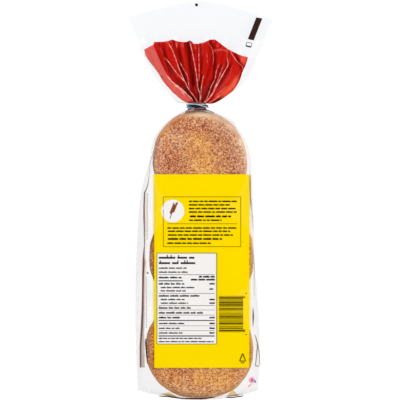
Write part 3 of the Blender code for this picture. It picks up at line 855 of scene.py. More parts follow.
def scatter_cornmeal(muffins, material):
    """Cornmeal on every muffin face that shows, thickest in the middle of the upper faces."""
    vertices, faces, cover, golden = [], [], [], []
    for piece in muffins:
        start = len(vertices)
        golden += list(stored(piece, "golden"))
        for vertex, browned, gold in zip(piece.data.vertices, stored(piece, "toast"),
                                         stored(piece, "golden")):
            x, y, z = vertex.co
            under_panel = (PANEL_LEFT + 2 * MM < x < PANEL_RIGHT - 2 * MM
                           and PANEL_BOTTOM + 2 * MM < y < PANEL_TOP - 2 * MM)
            upper_face = z > HALF_HEIGHT + MUFFIN_HEIGHT / 2
            shown = 0.0 if under_panel and upper_face else 1.0
            outer = 1.0 if upper_face else 0.12
            hidden = 0.0 if MUFFIN_HEIGHT * 0.6 < z < MUFFIN_HEIGHT * 1.5 else 1.0
            cover.append(float(browned) * (1 + 0.7 * gold) * shown * outer * hidden)
            vertices.append((x, y, z))
        faces += [tuple(start + i for i in face.vertices) for face in piece.data.polygons]
    ground = link_mesh("cornmeal_ground", vertices, faces, None)
    set_attribute(ground, "grain_cover", cover)
    set_attribute(ground, "grain_golden", golden)
    return grown("cornmeal", ground, cornmeal_tree(),
                 {"Grains per Square Metre": 5.2e5, "Grain Radius": 0.53 * MM, "Seed": 11,
                  "Grain Material": material})


# ---- the film ------------------------------------------------------------------------------------


def make_film(material):
    """The whole bag as one thin film: filled body, neck and skirt, open at the mouth."""
    turn = np.linspace(-1, 1, 161)
    across = np.sin(turn * math.pi / 2)
    quarter = np.linspace(0, math.pi / 2, 20, endpoint=False)
    start, end = FLAT_TOP[:, 1].min(), FLAT_TOP[:, 1].max()
    heights = [*(BOTTOM_Y + (start - BOTTOM_Y) * (1 - np.cos(quarter))),
               *np.linspace(start, end, 130, endpoint=False),
               *np.linspace(end, NECK_Y, 26)]
    rings = []
    for y in heights:
        upper, lower = body_station(y, across, turn)
        rings.append(np.vstack((upper, lower[::-1])))
    for run in np.linspace(0, 1, 121):
        upper = skirt_points(UPPER_FOLDS, across, run, 1)[0]
        lower = skirt_points(LOWER_FOLDS, across, run, -1)[0]
        rings.append(np.vstack((upper, lower[::-1])))
    around = len(rings[0])
    faces = grid_faces(len(rings), around, wrap=True)
    half = around // 2
    faces += [(i, around - 1 - i, around - 2 - i, i + 1) for i in range(half - 1)]
    return link_mesh("bag_film", np.vstack(rings), faces, material)


def path_shade(paths, across, run, wide):
    """How strongly soft-edged paths of (places, width in millimetres, depth) mark each point."""
    shade = np.zeros_like(run)
    for path, width, depth in paths:
        middle, alive = along_path(path, run)
        off = (across - middle) * wide / MM
        shade = np.maximum(shade, depth * alive * np.exp(-(off / width) ** 2))
    return shade


def band_patch(name, folds, side, edge, left, right, material, lift):
    """The red band on one film layer of the skirt, from the neck to its wavy edge."""
    share, u = np.meshgrid(np.linspace(0.0, 1.0, 150), np.linspace(0.0, 1.0, 440), indexing="ij")
    across, run = 2 * u - 1, 0.6 * share
    for _ in range(12):
        run = share * np.interp(across, *np.array(edge).T)
        low, high = np.interp(run, *np.array(left).T), np.interp(run, *np.array(right).T)
        across = low + u * (high - low)
    points, crease_glint, wide = skirt_points(folds, across, run, side)
    points[..., 2] += lift
    # Painted shade on the flanks of the folds, from how they slope.
    slope = np.gradient(points[..., 2], axis=1) / np.maximum(np.gradient(points[..., 0], axis=1), 1e-6)
    flank = np.clip(side * slope * 0.5, 0.0, 1.0)
    near_neck = 1 - smooth_step(0.0, 0.34, run)
    spread = across * (30 + 10 * run)
    stripes = (np.sin(spread * 0.83 + 4 * run) + np.sin(spread * 1.9 + 1.3 + 3 * np.sin(5 * run))
               + 0.7 * np.sin(spread * 3.7 - 6 * run)
               + 0.8 * np.sin(spread * 6.3 + 2 + 4 * np.sin(7 * run))) / 3.0
    border = np.interp(run, *np.array(LOWER_BAND_LEFT).T)
    doubled = smooth_step(-0.012, 0.012, across - border) * (1 - 0.25 * smooth_step(0.5, 0.8, across))
    # shade: deeper where two layers lie together, and painted shade in the valleys, on the flanks, near the
    # neck, in broad stripes across the pleats and right by the tie.
    shade = (0.06 + 0.23 * doubled + 0.60 * path_shade(VALLEYS, across, run, wide)
             + (0.14 + 0.24 * doubled) * flank + 0.26 * near_neck * doubled + 0.15 * stripes * doubled
             + 0.4 * (1 - smooth_step(0.0, 0.03, run)))
    # The broad gloss joins the painted highlights along the crests.
    crease_glint = np.maximum(crease_glint, path_shade(GLARES, across, run, wide) * (1 + 0.4 * stripes))
    piece = link_mesh(name, points.reshape(-1, 3), grid_faces(*run.shape, flip=side < 0), material)
    set_attribute(piece, "crease_glint", crease_glint)
    set_attribute(piece, "shade", np.clip(shade * (1.0 if side > 0 else 0.5), 0.0, 1.0))
    set_attribute(piece, "glow", path_shade(GLOWS, across, run, wide))
    return piece


# ---- print on the film ---------------------------------------------------------------------------


def lay_print(tree, geometry, given):
    """Nodes that drop flat shapes onto the film from above, lift them by their ink and colour them."""
    film = add_node(tree, "GeometryNodeObjectInfo", {"Object": given["Film"]},
                    transform_space="RELATIVE")
    place = add_node(tree, "GeometryNodeInputPosition").outputs[0]
    over = add_node(tree, "ShaderNodeVectorMath", {0: place, 1: (0, 0, 0.2)}, operation="ADD")
    drop = add_node(tree, "GeometryNodeRaycast",
                    {"Target Geometry": film.outputs["Geometry"], "Source Position": over.outputs[0],
                     "Ray Direction": (0, 0, -1), "Ray Length": 1.0})
    lift = add_node(tree, "ShaderNodeCombineXYZ", {"Z": given["Lift"]})
    landed = add_node(tree, "ShaderNodeVectorMath",
                      {0: drop.outputs["Hit Position"], 1: lift.outputs[0]}, operation="ADD")
    moved = add_node(tree, "GeometryNodeSetPosition",
                     {"Geometry": geometry, "Selection": drop.outputs["Is Hit"],
                      "Position": landed.outputs[0]})
    inked = add_node(tree, "GeometryNodeSetMaterial",
                     {"Geometry": moved.outputs[0], "Material": given["Ink"]})
    add_node(tree, "NodeGroupOutput", {"Geometry": inked.outputs[0]})


def print_tree(name, repeated):
    """Geometry Nodes for print: flat shapes as they are, or a mark repeated at each point."""
    tree, given = new_geometry_tree(name, (("Film", "Object"), ("Lift", "Float"), ("Ink", "Material")))
    if not repeated:
        lay_print(tree, given["Geometry"], given)
        return tree
    mark = add_node(tree, "GeometryNodeMeshGrid",
                    {"Size X": 1.0, "Size Y": 1.0, "Vertices X": 2, "Vertices Y": 2})
    placed = add_node(tree, "GeometryNodeInstanceOnPoints",
                      {"Points": given["Geometry"], "Instance": mark.outputs[0],
                       "Scale": named(tree, "mark_size", "FLOAT_VECTOR")})
    real = add_node(tree, "GeometryNodeRealizeInstances", {"Geometry": placed.outputs[0]})
    lay_print(tree, real.outputs[0], given)
    return tree


FIELD_TREE = print_tree("lay_fields", repeated=False)
MARK_TREE = print_tree("lay_marks", repeated=True)


def printed_marks(name, marks, film, layer, ink):
    """Marks of (x, y, width, height), each a flat rectangle of ink on the film."""
    points = link_mesh(name + "_points", [(m[0], m[1], 0) for m in marks], [], None, smooth=False)
    set_attribute(points, "mark_size", [(m[2], m[3], 1) for m in marks], "FLOAT_VECTOR")
    return grown(name, points, MARK_TREE, {"Film": film, "Lift": layer * PRINT_LIFT, "Ink": ink})


def printed(name, shapes, film, layer, ink):
    """Flat shapes of (places, faces), laid on the film together as one piece."""
    vertices, faces = [], []
    for places, corners in shapes:
        start = len(vertices)
        vertices += [(x, y, 0.0) for x, y in places]
        faces += [tuple(start + i for i in face) for face in corners]
    flat = link_mesh(name + "_flat", vertices, faces, None)
    return grown(name, flat, FIELD_TREE, {"Film": film, "Lift": layer * PRINT_LIFT, "Ink": ink})


def quad(corners, step=1.5 * MM):
    """A four-cornered shape in small squares, its corners anticlockwise from the lower left."""
    a, b, c, d = (np.array(corner, float) for corner in corners)
    columns = max(2, math.ceil(max(np.linalg.norm(b - a), np.linalg.norm(c - d)) / step) + 1)
    rows = max(2, math.ceil(max(np.linalg.norm(d - a), np.linalg.norm(c - b)) / step) + 1)
    u, v = np.meshgrid(np.linspace(0, 1, columns), np.linspace(0, 1, rows))
    u, v = u.reshape(-1, 1), v.reshape(-1, 1)
    places = (1 - v) * ((1 - u) * a + u * b) + v * ((1 - u) * d + u * c)
    return places, grid_faces(rows, columns)


def box(left, right, low, high, step=1.5 * MM):
    """A filled upright rectangle."""
    return quad(((left, low), (right, low), (right, high), (left, high)), step)


def disc(x, y, half_width, half_height, turned=0.0, rings=8, corners=48):
    """A filled ellipse, turned anticlockwise by an angle."""
    share = np.linspace(0.02, 1.0, rings)[:, None]
    turn = np.linspace(0, 2 * math.pi, corners, endpoint=False)[None, :]
    across, along = share * half_width * np.cos(turn), share * half_height * np.sin(turn)
    cos, sin = math.cos(turned), math.sin(turned)
    places = np.stack((x + across * cos - along * sin, y + across * sin + along * cos), axis=-1)
    faces = grid_faces(rings, corners, wrap=True, flip=True)
    return places.reshape(-1, 2), faces + [tuple(range(corners))]


def strip(path, widths, step=1.2 * MM):
    """A band that follows a path of (x, y) corners, its width changing from corner to corner."""
    path = np.array(path, float)
    gone = np.concatenate(([0.0], np.cumsum(np.linalg.norm(np.diff(path, axis=0), axis=1))))
    at = np.linspace(0, gone[-1], max(3, math.ceil(gone[-1] / step) + 1))
    middle = np.column_stack([np.interp(at, gone, path[:, k]) for k in (0, 1)])
    ahead = np.gradient(middle, axis=0)
    ahead /= np.linalg.norm(ahead, axis=1)[:, None]
    beside = np.column_stack((ahead[:, 1], -ahead[:, 0])) * np.interp(at, gone, widths)[:, None] / 2
    places = np.stack((middle - beside, middle + beside), axis=1).reshape(-1, 2)
    return places, grid_faces(len(at), 2)


def rule(left, right, y, height, piece=1.4 * MM):
    """Marks that join into one long straight line."""
    count = max(1, math.ceil((right - left) / piece))
    width = (right - left) / count
    return [(left + (k + 0.5) * width, y, width, height) for k in range(count)]


def upright(x, low, high, width, piece=1.4 * MM):
    """Marks that join into one long upright line."""
    count = max(1, math.ceil((high - low) / piece))
    height = (high - low) / count
    return [(x, low + (k + 0.5) * height, width, height) for k in range(count)]


def outlined(left, right, low, high, width):
    """Marks that join into the outline of a rectangle."""
    return (rule(left, right, low, width) + rule(left, right, high, width)
            + upright(left, low, high, width) + upright(right, low, high, width))


def words(chance, left, right, y, height, body=0.72):
    """A line of small print as plain bars, one for each word, with a few taller strokes in them."""
    marks = []
    x = left
    while x < right:
        wide = min(float(chance.uniform(1.6, 5.2)) * height, right - x + 0.4 * height)
        marks.append((x + wide / 2, y - (0.72 - body) * height / 2, wide, height * body))
        for _ in range(int(wide / height * 0.6)):
            marks.append((x + wide * chance.uniform(0.1, 0.9), y + 0.18 * height, 0.26 * height, height))
        x += wide + 0.55 * height
    return marks


def on_panel(across_mm, down_mm):
    """A place on the yellow panel, across it and down from its top, in millimetres."""
    return PRINT_LEFT + across_mm * MM, PANEL_TOP - down_mm * MM


def panel_box(left, right, top, low):
    """A filled rectangle on the panel, its sides in millimetres across and down it."""
    return box(on_panel(left, 0)[0], on_panel(right, 0)[0], on_panel(0, low)[1], on_panel(0, top)[1])


def panel_lines(chance, rows, height, body=0.72):
    """Lines of small print on the panel, each (from, to, down) in millimetres."""
    marks = []
    for start, end, down in rows:
        left, y = on_panel(start, down)
        right, _ = on_panel(end, down)
        marks += words(chance, left, right, y, height * MM, body)
    return marks


def make_note(chance, film, inks):
    """The boxed note: its outline, its dividing line, its small print and the round wheat sign."""
    left, top = on_panel(7.7, 20.2)
    right, low = on_panel(77.0, 64.8)
    fine = outlined(left, right, low, top, 0.55 * MM)
    divide_left, divide_y = on_panel(11.2, 44.3)
    fine += rule(divide_left, on_panel(73.8, 0)[0], divide_y, 0.50 * MM)
    note = panel_lines(chance, ((30.6, 72.9, 24.3), (30.6, 66.5, 27.5), (30.6, 72.9, 30.8),
                                (30.6, 73.0, 33.9), (31.0, 59.4, 41.2), (11.2, 73.8, 48.2),
                                (11.8, 67.0, 51.1), (11.8, 69.3, 54.5), (11.2, 49.5, 61.8)), 1.55, 0.82)
    note += panel_lines(chance, ((31.5, 67.5, 37.8), (11.8, 59.4, 58.0)), 2.0, 0.80)
    x, y = on_panel(16.2, 32.85)
    ear = [strip(((x - 2.6 * MM, y - 6.8 * MM), (x - 0.6 * MM, y - 1.0 * MM), (x + 1.8 * MM, y + 5.0 * MM)),
                 (0.7 * MM,) * 3)]
    for k in range(6):
        along = -1.6 + 1.5 * k
        middle_x, middle_y = x + (along * 0.40 - 0.1) * MM, y + along * MM
        for side in (-1, 1):
            ear.append(disc(middle_x + side * 1.25 * MM, middle_y + (0.5 + 0.5 * side) * MM,
                            1.5 * MM, 0.62 * MM, math.radians(68 - side * 40), 3, 16))
    return [printed_marks("note_box", fine, film, 2, inks["olive"]),
            printed_marks("note_lines", note, film, 2, inks["dark"]),
            printed("wheat_sign_ground", [disc(x, y, 10.2 * MM, 10.2 * MM)], film, 2, inks["white"]),
            printed("wheat_sign_ear", ear, film, 3, inks["crust"])]


def make_table(chance, film, inks):
    """The white table: its frame, its rules, its small print and two columns of short values."""
    table = panel_lines(chance, ((3.6, 34.2, 74.4), (3.6, 35.1, 79.2)), 3.3, 0.50)
    table += panel_lines(chance, ((3.6, 28.8, 84.0), (3.6, 29.7, 87.6), (5.4, 35.1, 101.4),
                                  (5.4, 27.0, 104.4), (5.4, 26.1, 112.2), (5.4, 29.3, 115.4),
                                  (3.6, 25.7, 133.6), (3.6, 21.6, 137.9), (3.6, 24.3, 142.1)), 1.6, 0.64)
    table += panel_lines(chance, ((3.6, 23.4, 92.5), (3.6, 25.7, 98.1), (3.6, 40.5, 108.9),
                                  (3.6, 31.5, 119.7), (3.6, 42.3, 124.1), (3.6, 23.4, 128.4)), 1.9, 0.66)
    table += panel_lines(chance, ((39.6, 53.1, 91.9), (32.4, 53.1, 94.5)), 1.7, 0.85)
    table += panel_lines(chance, ((3.6, 41.4, 147.0),
                                  (3.6, 52.2, 149.9)), 1.3, 0.72)
    table += panel_lines(chance, [(49.0, 53.1, down) for down in
                                  (98.1, 102.8, 112.2, 115.4, 128.4, 133.6, 137.9, 142.1)], 1.7)
    for down, height in ((89.9, 0.4), (106.7, 0.35), (117.6, 0.35), (121.5, 0.3), (126.1, 0.35),
                         (130.9, 0.8), (135.7, 0.3), (140.0, 0.3), (144.8, 0.95)):
        left, y = on_panel(3.4, down)
        table += rule(left, on_panel(53.6, 0)[0], y, height * MM)
    left, y = on_panel(3.4, 95.4)
    table += rule(left, on_panel(25.2, 0)[0], y, 0.9 * MM)
    left, top = on_panel(2.0, 70.6)
    right, low = on_panel(55.4, 152.0)
    return [printed("table_field", [panel_box(2.0, 55.4, 70.6, 152.0)], film, 2, inks["white"]),
            printed_marks("table_lines", table, film, 3, inks["black"]),
            printed_marks("table_frame", outlined(left, right, low, top, 0.45 * MM), film, 3,
                          inks["dark"])]


def make_codes(chance, film, inks):
    """The bar code, the sorting sign under it and the small marks beside it."""
    thin, thick = [], []
    down = 109.0
    while down < 141.0:
        modules = int(chance.choice((1, 2, 2, 3, 3, 4)))
        height = modules * 0.33
        left, y = on_panel(57.6, down + height / 2)
        right, _ = on_panel(81.0 if down < 110.5 or down > 139.0 else 79.2, 0)
        (thick if modules > 2 else thin).extend(rule(left, right, y, height * MM * 0.92))
        down += height + float(chance.choice((0.33, 0.33, 0.33, 0.66)))
    for down in (106.7, 143.4):
        x, y = on_panel(81.9, down)
        thick.append((x, y, 1.2 * MM, 0.7 * MM))
    x, y = on_panel(78.75, 164.7)
    low, high, reach = y - 2.6 * MM, y + 4.4 * MM, 2.7 * MM
    sign = [strip(((x - reach, low), (x, high), (x + reach, low), (x - reach, low)), (0.9 * MM,) * 4),
            strip(((x - 1.6 * MM, y - 4.2 * MM), (x + 1.6 * MM, y - 4.2 * MM)), (0.8 * MM,) * 2)]
    return [printed_marks("bar_code_fine", thin, film, 2, inks["bar"]),
            printed_marks("bar_code_bold", thick, film, 2, inks["dark"]),
            printed("sorting_sign", sign, film, 2, inks["dark"])]


def on_skirt(across, run):
    """The plan place of a point on the skirt's upper film."""
    return tuple(skirt_points(UPPER_FOLDS, across, run, 1)[0].reshape(-1)[:2])


def make_press_marks(film, inks):
    """The marks that a press and a bagging machine steer by, on the clear part of the skirt."""
    eye = quad([on_skirt(*place) for place in
                ((0.768, 0.746), (0.846, 0.756), (0.846, 0.978), (0.776, 0.970))])
    corners = [on_skirt(*place) for place in
               ((0.770, 0.678), (0.850, 0.690), (0.840, 0.728), (0.765, 0.712))]
    small = strip([*corners, corners[0]], (0.5 * MM,) * 5)
    low = strip(corners[:2], (1.3 * MM,) * 2)
    edges = [strip([on_skirt(*place) for place in pair], (0.6 * MM,) * 2)
             for pair in (((0.768, 0.746), (0.776, 0.970)), ((0.846, 0.756), (0.846, 0.978)))]
    dot = disc(*on_skirt(-0.055, 0.962), 1.4 * MM, 1.4 * MM, 0.0, 3, 20)
    return [printed("eye_mark", [eye], film, 1, inks["eye"]),
            printed("eye_mark_edges", [*edges, small, low, dot], film, 2, inks["black"])]


def in_mm(*places):
    """Plan places in metres from millimetres."""
    return [(x * MM, y * MM) for x, y in places]


def make_edge_print(film, inks):
    """What shows at the bag's edges of the print on its front, and its creased sides, with painted shadow
    and shade beside the muffins and along the film's creases.
    """
    down = np.array((21.6, 12.6, 6.3, -4.5, -16.2, -27, -40.5, -50.4, -55.8, -67.5, -81, -99, -117,
                     -130.5, -150.3))
    middle = (-46.1, -47.4, -50.2, -50.7, -50.7, -50.5, -50.3, -50.7, -50.8, -51.3, -51.3, -51.8, -52.3,
              -52.4, -52.4)
    widths = (0.45, 1.1, 1.3, 1.3, 1.35, 1.0, 1.0, 2.5, 3.3, 2.6, 2.6, 2.8, 3.4, 4.7, 4.9)
    line = (-46.1, -47.4, -50.3, -50.6, -50.6, -50.4, -50.3, -51.1, -50.9, -51.4, -51.7, -51.9, -52.9,
            -54.0, -53.9)
    line_widths = (0.2, 0.3, 0.9, 1.1, 1.2, 0.9, 0.5, 1.0, 1.6, 1.5, 1.4, 1.3, 1.2, 0.9, 0.7)
    seam = strip(in_mm(*zip(middle, down)), np.array(widths) * MM)
    umber = strip(in_mm(*zip(line, down)), np.array(line_widths) * MM)
    peach = [strip(in_mm((-49.2, 6), (-49.1, -4.5), (-49.1, -27), (-48.9, -38), (-48.8, -44)),
                   (1.2 * MM, 1.8 * MM, 1.8 * MM, 1.2 * MM, 0.4 * MM)),
             strip(in_mm((-48.7, -53), (-48.8, -58), (-49.5, -67.5), (-49.9, -88), (-50.2, -117)),
                   (0.4 * MM, 1.1 * MM, 1.0 * MM, 0.9 * MM, 0.8 * MM))]
    stitches = []
    for x, high, low in ((-47.7, 5.4, -37.0), (-48.6, -69.5, -117.0)):
        for k in range(int((high - low) / 2.1)):
            stitches.append((x * MM, (high - 2.1 * k) * MM, 0.8 * MM, 1.4 * MM))
    # A painted contact shadow along the bottom muffin's left edge, and a small dark dot.
    shadow = [strip(in_mm((-49.4, -124), (-49.2, -128), (-48.9, -131), (-48.3, -138), (-47.7, -146)),
                    (0.4 * MM, 1.0 * MM, 1.2 * MM, 0.9 * MM, 0.5 * MM)),
              disc(-47.4 * MM, -65.4 * MM, 0.8 * MM, 0.8 * MM, 0.0, 3, 16)]
    # Painted shadow lines beside the folds at the right side.
    folds = (((48.8, -121, 0.6), (51.0, -128.5, 1.0), (50.3, -138, 0.8), (49.2, -148.6, 0.6)),
             ((51.7, -130, 0.3), (52.2, -134, 0.7), (52.8, -140, 0.7), (53.2, -148.4, 0.5)),
             ((49.2, -148.6, 0.6), (51.0, -148.9, 0.7), (53.0, -148.6, 0.5)),
             ((47.0, -96, 0.3), (47.2, -104, 1.5), (47.0, -114, 0.3)))
    # Painted shade where the muffin's side shows past the panel's right edge.
    turned = strip(in_mm((44.6, 22.3), (44.6, 14), (44.7, 2), (44.8, -8)),
                   (1.6 * MM, 1.6 * MM, 1.5 * MM, 0.3 * MM))
    faded = [strip(in_mm((-41.0, high), (-41.0, low)), (1.3 * MM,) * 2) for high, low in
             ((14, -30), (-72, -113))]
    # Painted shade along creases in the slack film.
    slack = [strip(in_mm((-46.3, 21), (-44.8, 34.5), (-41.0, 47.7)), (0.4 * MM, 0.5 * MM, 0.4 * MM)),
             strip(in_mm((-50.7, 131.3), (-43.4, 121.5), (-36.1, 112.0), (-30.5, 108.0)),
                   (0.4 * MM, 0.6 * MM, 0.6 * MM, 0.3 * MM)),
             strip(in_mm((45.4, 2), (46.3, -14), (47.6, -28)), (0.5 * MM, 0.6 * MM, 0.5 * MM)),
             strip(in_mm((47.0, -44), (48.2, -60), (48.1, -86)), (0.4 * MM, 0.6 * MM, 0.3 * MM))]
    wedges = [quad(in_mm((-36.0, -173.6), (-25.5, -177.4), (-19.0, -177.6), (-27.5, -172.3))),
              quad(in_mm((23.6, -176.5), (34.0, -175.4), (29.1, -170.0), (26.0, -172.4))),
              strip(in_mm((-24.4, -176.9), (-12.5, -177.9), (-0.3, -178.3), (11.7, -177.5)),
                    (0.9 * MM, 0.6 * MM, 0.6 * MM, 0.4 * MM))]
    bottom = (((-37.5, -176.0, 0.4), (-34.1, -176.2, 1.0), (-30.5, -176.0, 1.1), (-25.1, -176.8, 1.2),
               (-19.7, -177.5, 1.1), (-12.6, -178.0, 1.3), (-5.4, -178.05, 1.35), (1.8, -178.0, 1.35),
               (9.0, -177.1, 1.0), (14.3, -176.4, 0.3)),
              ((22.5, -177.2, 0.4), (25.1, -177.1, 1.0), (30.5, -177.1, 1.1), (35.9, -176.3, 1.2),
               (38.8, -176.0, 0.4)))
    height = (PANEL_TOP, PANEL_BOTTOM)
    fringe = [strip([(PANEL_LEFT - 0.5 * MM, y) for y in height], (1.5 * MM,) * 2),
              strip([(PANEL_RIGHT + 0.5 * MM, y) for y in height], (1.7 * MM,) * 2)]
    eye_x, eye_y = 46.0 * MM, -161.6 * MM
    return [printed("side_print", [seam], film, 1, inks["taupe"]),
            printed("side_print_pale", peach, film, 1, inks["peach"]),
            printed("side_print_edges", [umber], film, 2, inks["umber"]),
            printed_marks("side_stitches", stitches, film, 2, inks["grey"]),
            raised_lines("side_shadow_line", folds, (-3.0 * MM, 0), 0.3 * MM, inks["brown"]),
            printed("side_shadow_dark", shadow, film, 6, inks["shade"]),
            printed("side_film_creases", slack, film, 1, inks["grey"]),
            printed("panel_turned_edge", [turned], film, 6, inks["bronze"]),
            printed("panel_faded_edge", faded, film, 2, inks["olive_yellow"]),
            printed("panel_fringe", fringe, film, 1, tinted_film("thin_yellow_tint", "#fff09a")),
            printed("front_print_yellow", wedges, film, 1, inks["straw"]),
            printed("front_print_pink", [disc(eye_x, eye_y, 2.8 * MM, 3.0 * MM, 0.3, 4, 24),
                                         strip(in_mm((42.8, -167.4), (45.6, -165.2)), (1.4 * MM,) * 2)],
                    film, 1, inks["pink"]),
            printed("front_print_rose", [disc(eye_x + 0.3 * MM, eye_y, 1.3 * MM, 1.4 * MM, 0.3, 4, 24)],
                    film, 2, inks["rose"]),
            printed("front_print_blue", [disc(49 * MM, -162.9 * MM, 0.9 * MM, 1.3 * MM, 0.2, 3, 16)],
                    film, 1, inks["blue"]),
            raised_lines("front_print_red", bottom, (0, 1.0 * MM), 1.0 * MM, inks["red"])]


def raised_lines(name, paths, inward, lift, ink):
    """Lines that stand off the film, each path of (x, y, width) in millimetres: creased edges of print, and
    painted shadow lines beside folds.

    They lie as high as the film does a little further inward, and higher by lift.
    """
    piece_faces, places = [], []
    for path in paths:
        path = np.array(path, float)
        gone = np.concatenate(([0.0], np.cumsum(np.linalg.norm(np.diff(path[:, :2], axis=0), axis=1))))
        at = np.linspace(0, gone[-1], 40)
        x, y, width = (smooth_curve(list(zip(gone, path[:, k])), at) for k in (0, 1, 2))
        ahead = np.column_stack((np.gradient(x), np.gradient(y)))
        ahead /= np.linalg.norm(ahead, axis=1)[:, None]
        beside = np.column_stack((-ahead[:, 1], ahead[:, 0])) * width[:, None]
        start = len(places) * len(at)
        for share in np.linspace(-0.5, 0.5, 4):
            row = (np.column_stack((x, y)) + share * beside) * MM
            places.append(np.column_stack((row, HALF_HEIGHT + filled_half_height(row + inward) + lift)))
        piece_faces += [tuple(start + i for i in face) for face in grid_faces(4, len(at))]
    return link_mesh(name, np.vstack(places), piece_faces, ink)


def near_paths(paths, points):
    """How strongly soft lines of (places, width in millimetres, strength) mark (x, y) points."""
    marked = np.zeros(len(points))
    for path, width, strength in paths:
        there_and_back = np.array(path + path[-2:0:-1]) * MM
        off = distance_to(there_and_back, points) / (width * MM)
        marked = np.maximum(marked, strength * np.exp(-off**2))
    return marked


def make_neck_gathers(material):
    """The film gathered under the tie, so many layers thick that it looks brown, streaked with painted shade
    and painted highlights along its pleats.
    """
    turn = np.linspace(-1, 1, 141)
    across = np.sin(turn * math.pi / 2)
    rows = []
    for y in np.linspace(0.0770, 0.0874, 48):
        upper, _ = body_station(min(y, NECK_Y), across, turn)
        upper[:, 1] += max(y - NECK_Y, 0.0)
        rows.append(upper + (0, 0.40 * MM, 0.60 * MM))
    plan = np.vstack(rows)[:, :2]
    x, y = plan.T / MM
    low = np.interp(x, (-14, -10.8, -7, -1, 2, 6, 9, 12), (77.8, 79.0, 79.9, 80.3, 80.4, 79.9, 79.1, 78.0))
    left = np.interp(y, (78.0, 79.5, 81.0, 82.5), (-13.9, -13.3, -11.4, -10.9))
    right = np.interp(y, (79.0, 80.0, 81.0, 82.5), (7.6, 7.4, 6.8, 5.8))
    cover = (smooth_step(-0.3, 0.3, y - low) * smooth_step(-0.3, 0.3, x - left)
             * smooth_step(-0.3, 0.3, right - x))
    # Painted shade in the pleats, and a line of painted shade right above the tie.
    dark = near_paths((([(-13.6, 78.3), (-12.6, 80.0), (-10.6, 81.4), (-7.6, 82.6), (-3, 83.2)], 0.80, 1.0),
                       ([(-12.4, 78.7), (-8, 79.9), (-3.5, 80.6)], 0.25, 0.6),
                       ([(-5.5, 81.4), (-1, 81.4), (2, 81.2), (5.2, 80.8)], 0.70, 1.0),
                       ([(-2.6, 82.4), (1.4, 81.9)], 0.35, 0.7),
                       ([(6.4, 80.6), (9, 79.7), (12, 78.6)], 0.42, 0.9),
                       ([(3.2, 82.8), (5.2, 81.6)], 0.40, 0.8),
                       ([(-10.5, 87.2), (5.5, 87.2)], 0.50, 1.0)), plan)
    # Painted highlights along the pleats' ridges.
    pale = near_paths((([(-12.2, 79.5), (-9, 80.9), (-5.6, 81.8)], 0.40, 0.8),
                       ([(-9.4, 79.8), (-4.0, 80.9)], 0.30, 0.6),
                       ([(-1.6, 82.8), (2.6, 82.6)], 0.35, 0.5),
                       ([(4.6, 82.0), (7.6, 80.8)], 0.40, 0.8),
                       ([(5.8, 80.1), (8.6, 79.2)], 0.40, 0.8)), plan)
    piece = link_mesh("neck_gathers", np.vstack(rows), grid_faces(len(rows), len(turn)), material)
    set_attribute(piece, "gathered", np.maximum(cover, dark * ((y > 84) | (x > 6))))
    set_attribute(piece, "pleat_shade", dark)
    set_attribute(piece, "pleat_highlight", pale)
    return piece


def make_print(film):
    """Every printed piece: the yellow panel and what stands on it, and the marks round it."""
    chance = np.random.default_rng(5)
    inks = {name: flat_ink(full, colour, cover) for name, full, colour, cover in (
        ("yellow", "yellow_gravure_ink", "#fddb00", 0.985),
        ("white", "white_gravure_ink", "#f6f3f1", 0.97),
        ("dark", "brown_black_ink", "#2c2208", 1.0),
        ("olive", "fine_brown_ink", "#857004", 1.0),
        ("bar", "bar_code_ink", "#6e5f0a", 1.0),
        ("black", "black_gravure_ink", "#2e2a28", 1.0),
        ("crust", "wheat_brown_ink", "#8a4a1c", 0.92),
        ("eye", "press_mark_ink", "#3c2520", 1.0),
        ("taupe", "taupe_ink", "#cdb9b0", 0.97),
        ("peach", "thin_peach_ink", "#ead8cb", 0.80),
        ("umber", "umber_ink", "#6a5044", 1.0),
        ("grey", "grey_ink", "#948b8a", 0.85),
        ("brown", "shadow_brown_ink", "#655148", 0.92),
        ("shade", "contact_shadow_ink", "#4a2e1c", 1.0),
        ("bronze", "panel_edge_shade_ink", "#b49a44", 0.96),
        ("olive_yellow", "faded_yellow_ink", "#ebde50", 0.80),
        ("straw", "thin_yellow_ink", "#ecca80", 0.90),
        ("red", "front_red_ink", "#4a0e04", 1.0),
        ("pink", "front_pink_ink", "#f0a6c6", 0.85),
        ("rose", "front_rose_ink", "#dc5a9a", 0.90),
        ("blue", "front_blue_ink", "#4b6ea8", 0.80))}
    panel = box(PANEL_LEFT, PANEL_RIGHT, PANEL_BOTTOM, PANEL_TOP, 1.0 * MM)
    return [printed("yellow_panel", [panel], film, 1, inks["yellow"]),
            *make_table(chance, film, inks), *make_note(chance, film, inks),
            *make_codes(chance, film, inks), *make_press_marks(film, inks),
            *make_edge_print(film, inks)]


# ---- the tie -------------------------------------------------------------------------------------


def turn_round_neck(start, sweep, above, lift, loose=0.0, count=91):
    """One turn of ribbon round the neck: its places, its outward ways and the sideways share of each.

    above gives how far it lies towards the mouth, in millimetres, against that sideways share, and
    loose how far it stands off at the right.
    """
    angle = math.radians(start) + np.linspace(0, sweep, count)
    sideways = np.cos(angle)
    raised = 0.0008 + lift + loose * smooth_step(0.4, 1.0, sideways)
    along = np.interp(sideways, *np.array(above).T) * MM * smooth_step(-0.9, 0.1, np.sin(angle))
    places = np.column_stack((NECK_X + (NECK_HALF_WIDTH + raised) * sideways,
                              (NECK_Y + NECK_END_Y) / 2 + along,
                              HALF_HEIGHT + (NECK_HALF_HEIGHT + raised) * np.sin(angle)))
    outward = np.column_stack((sideways, np.zeros(count), np.sin(angle)))
    return places, outward, sideways


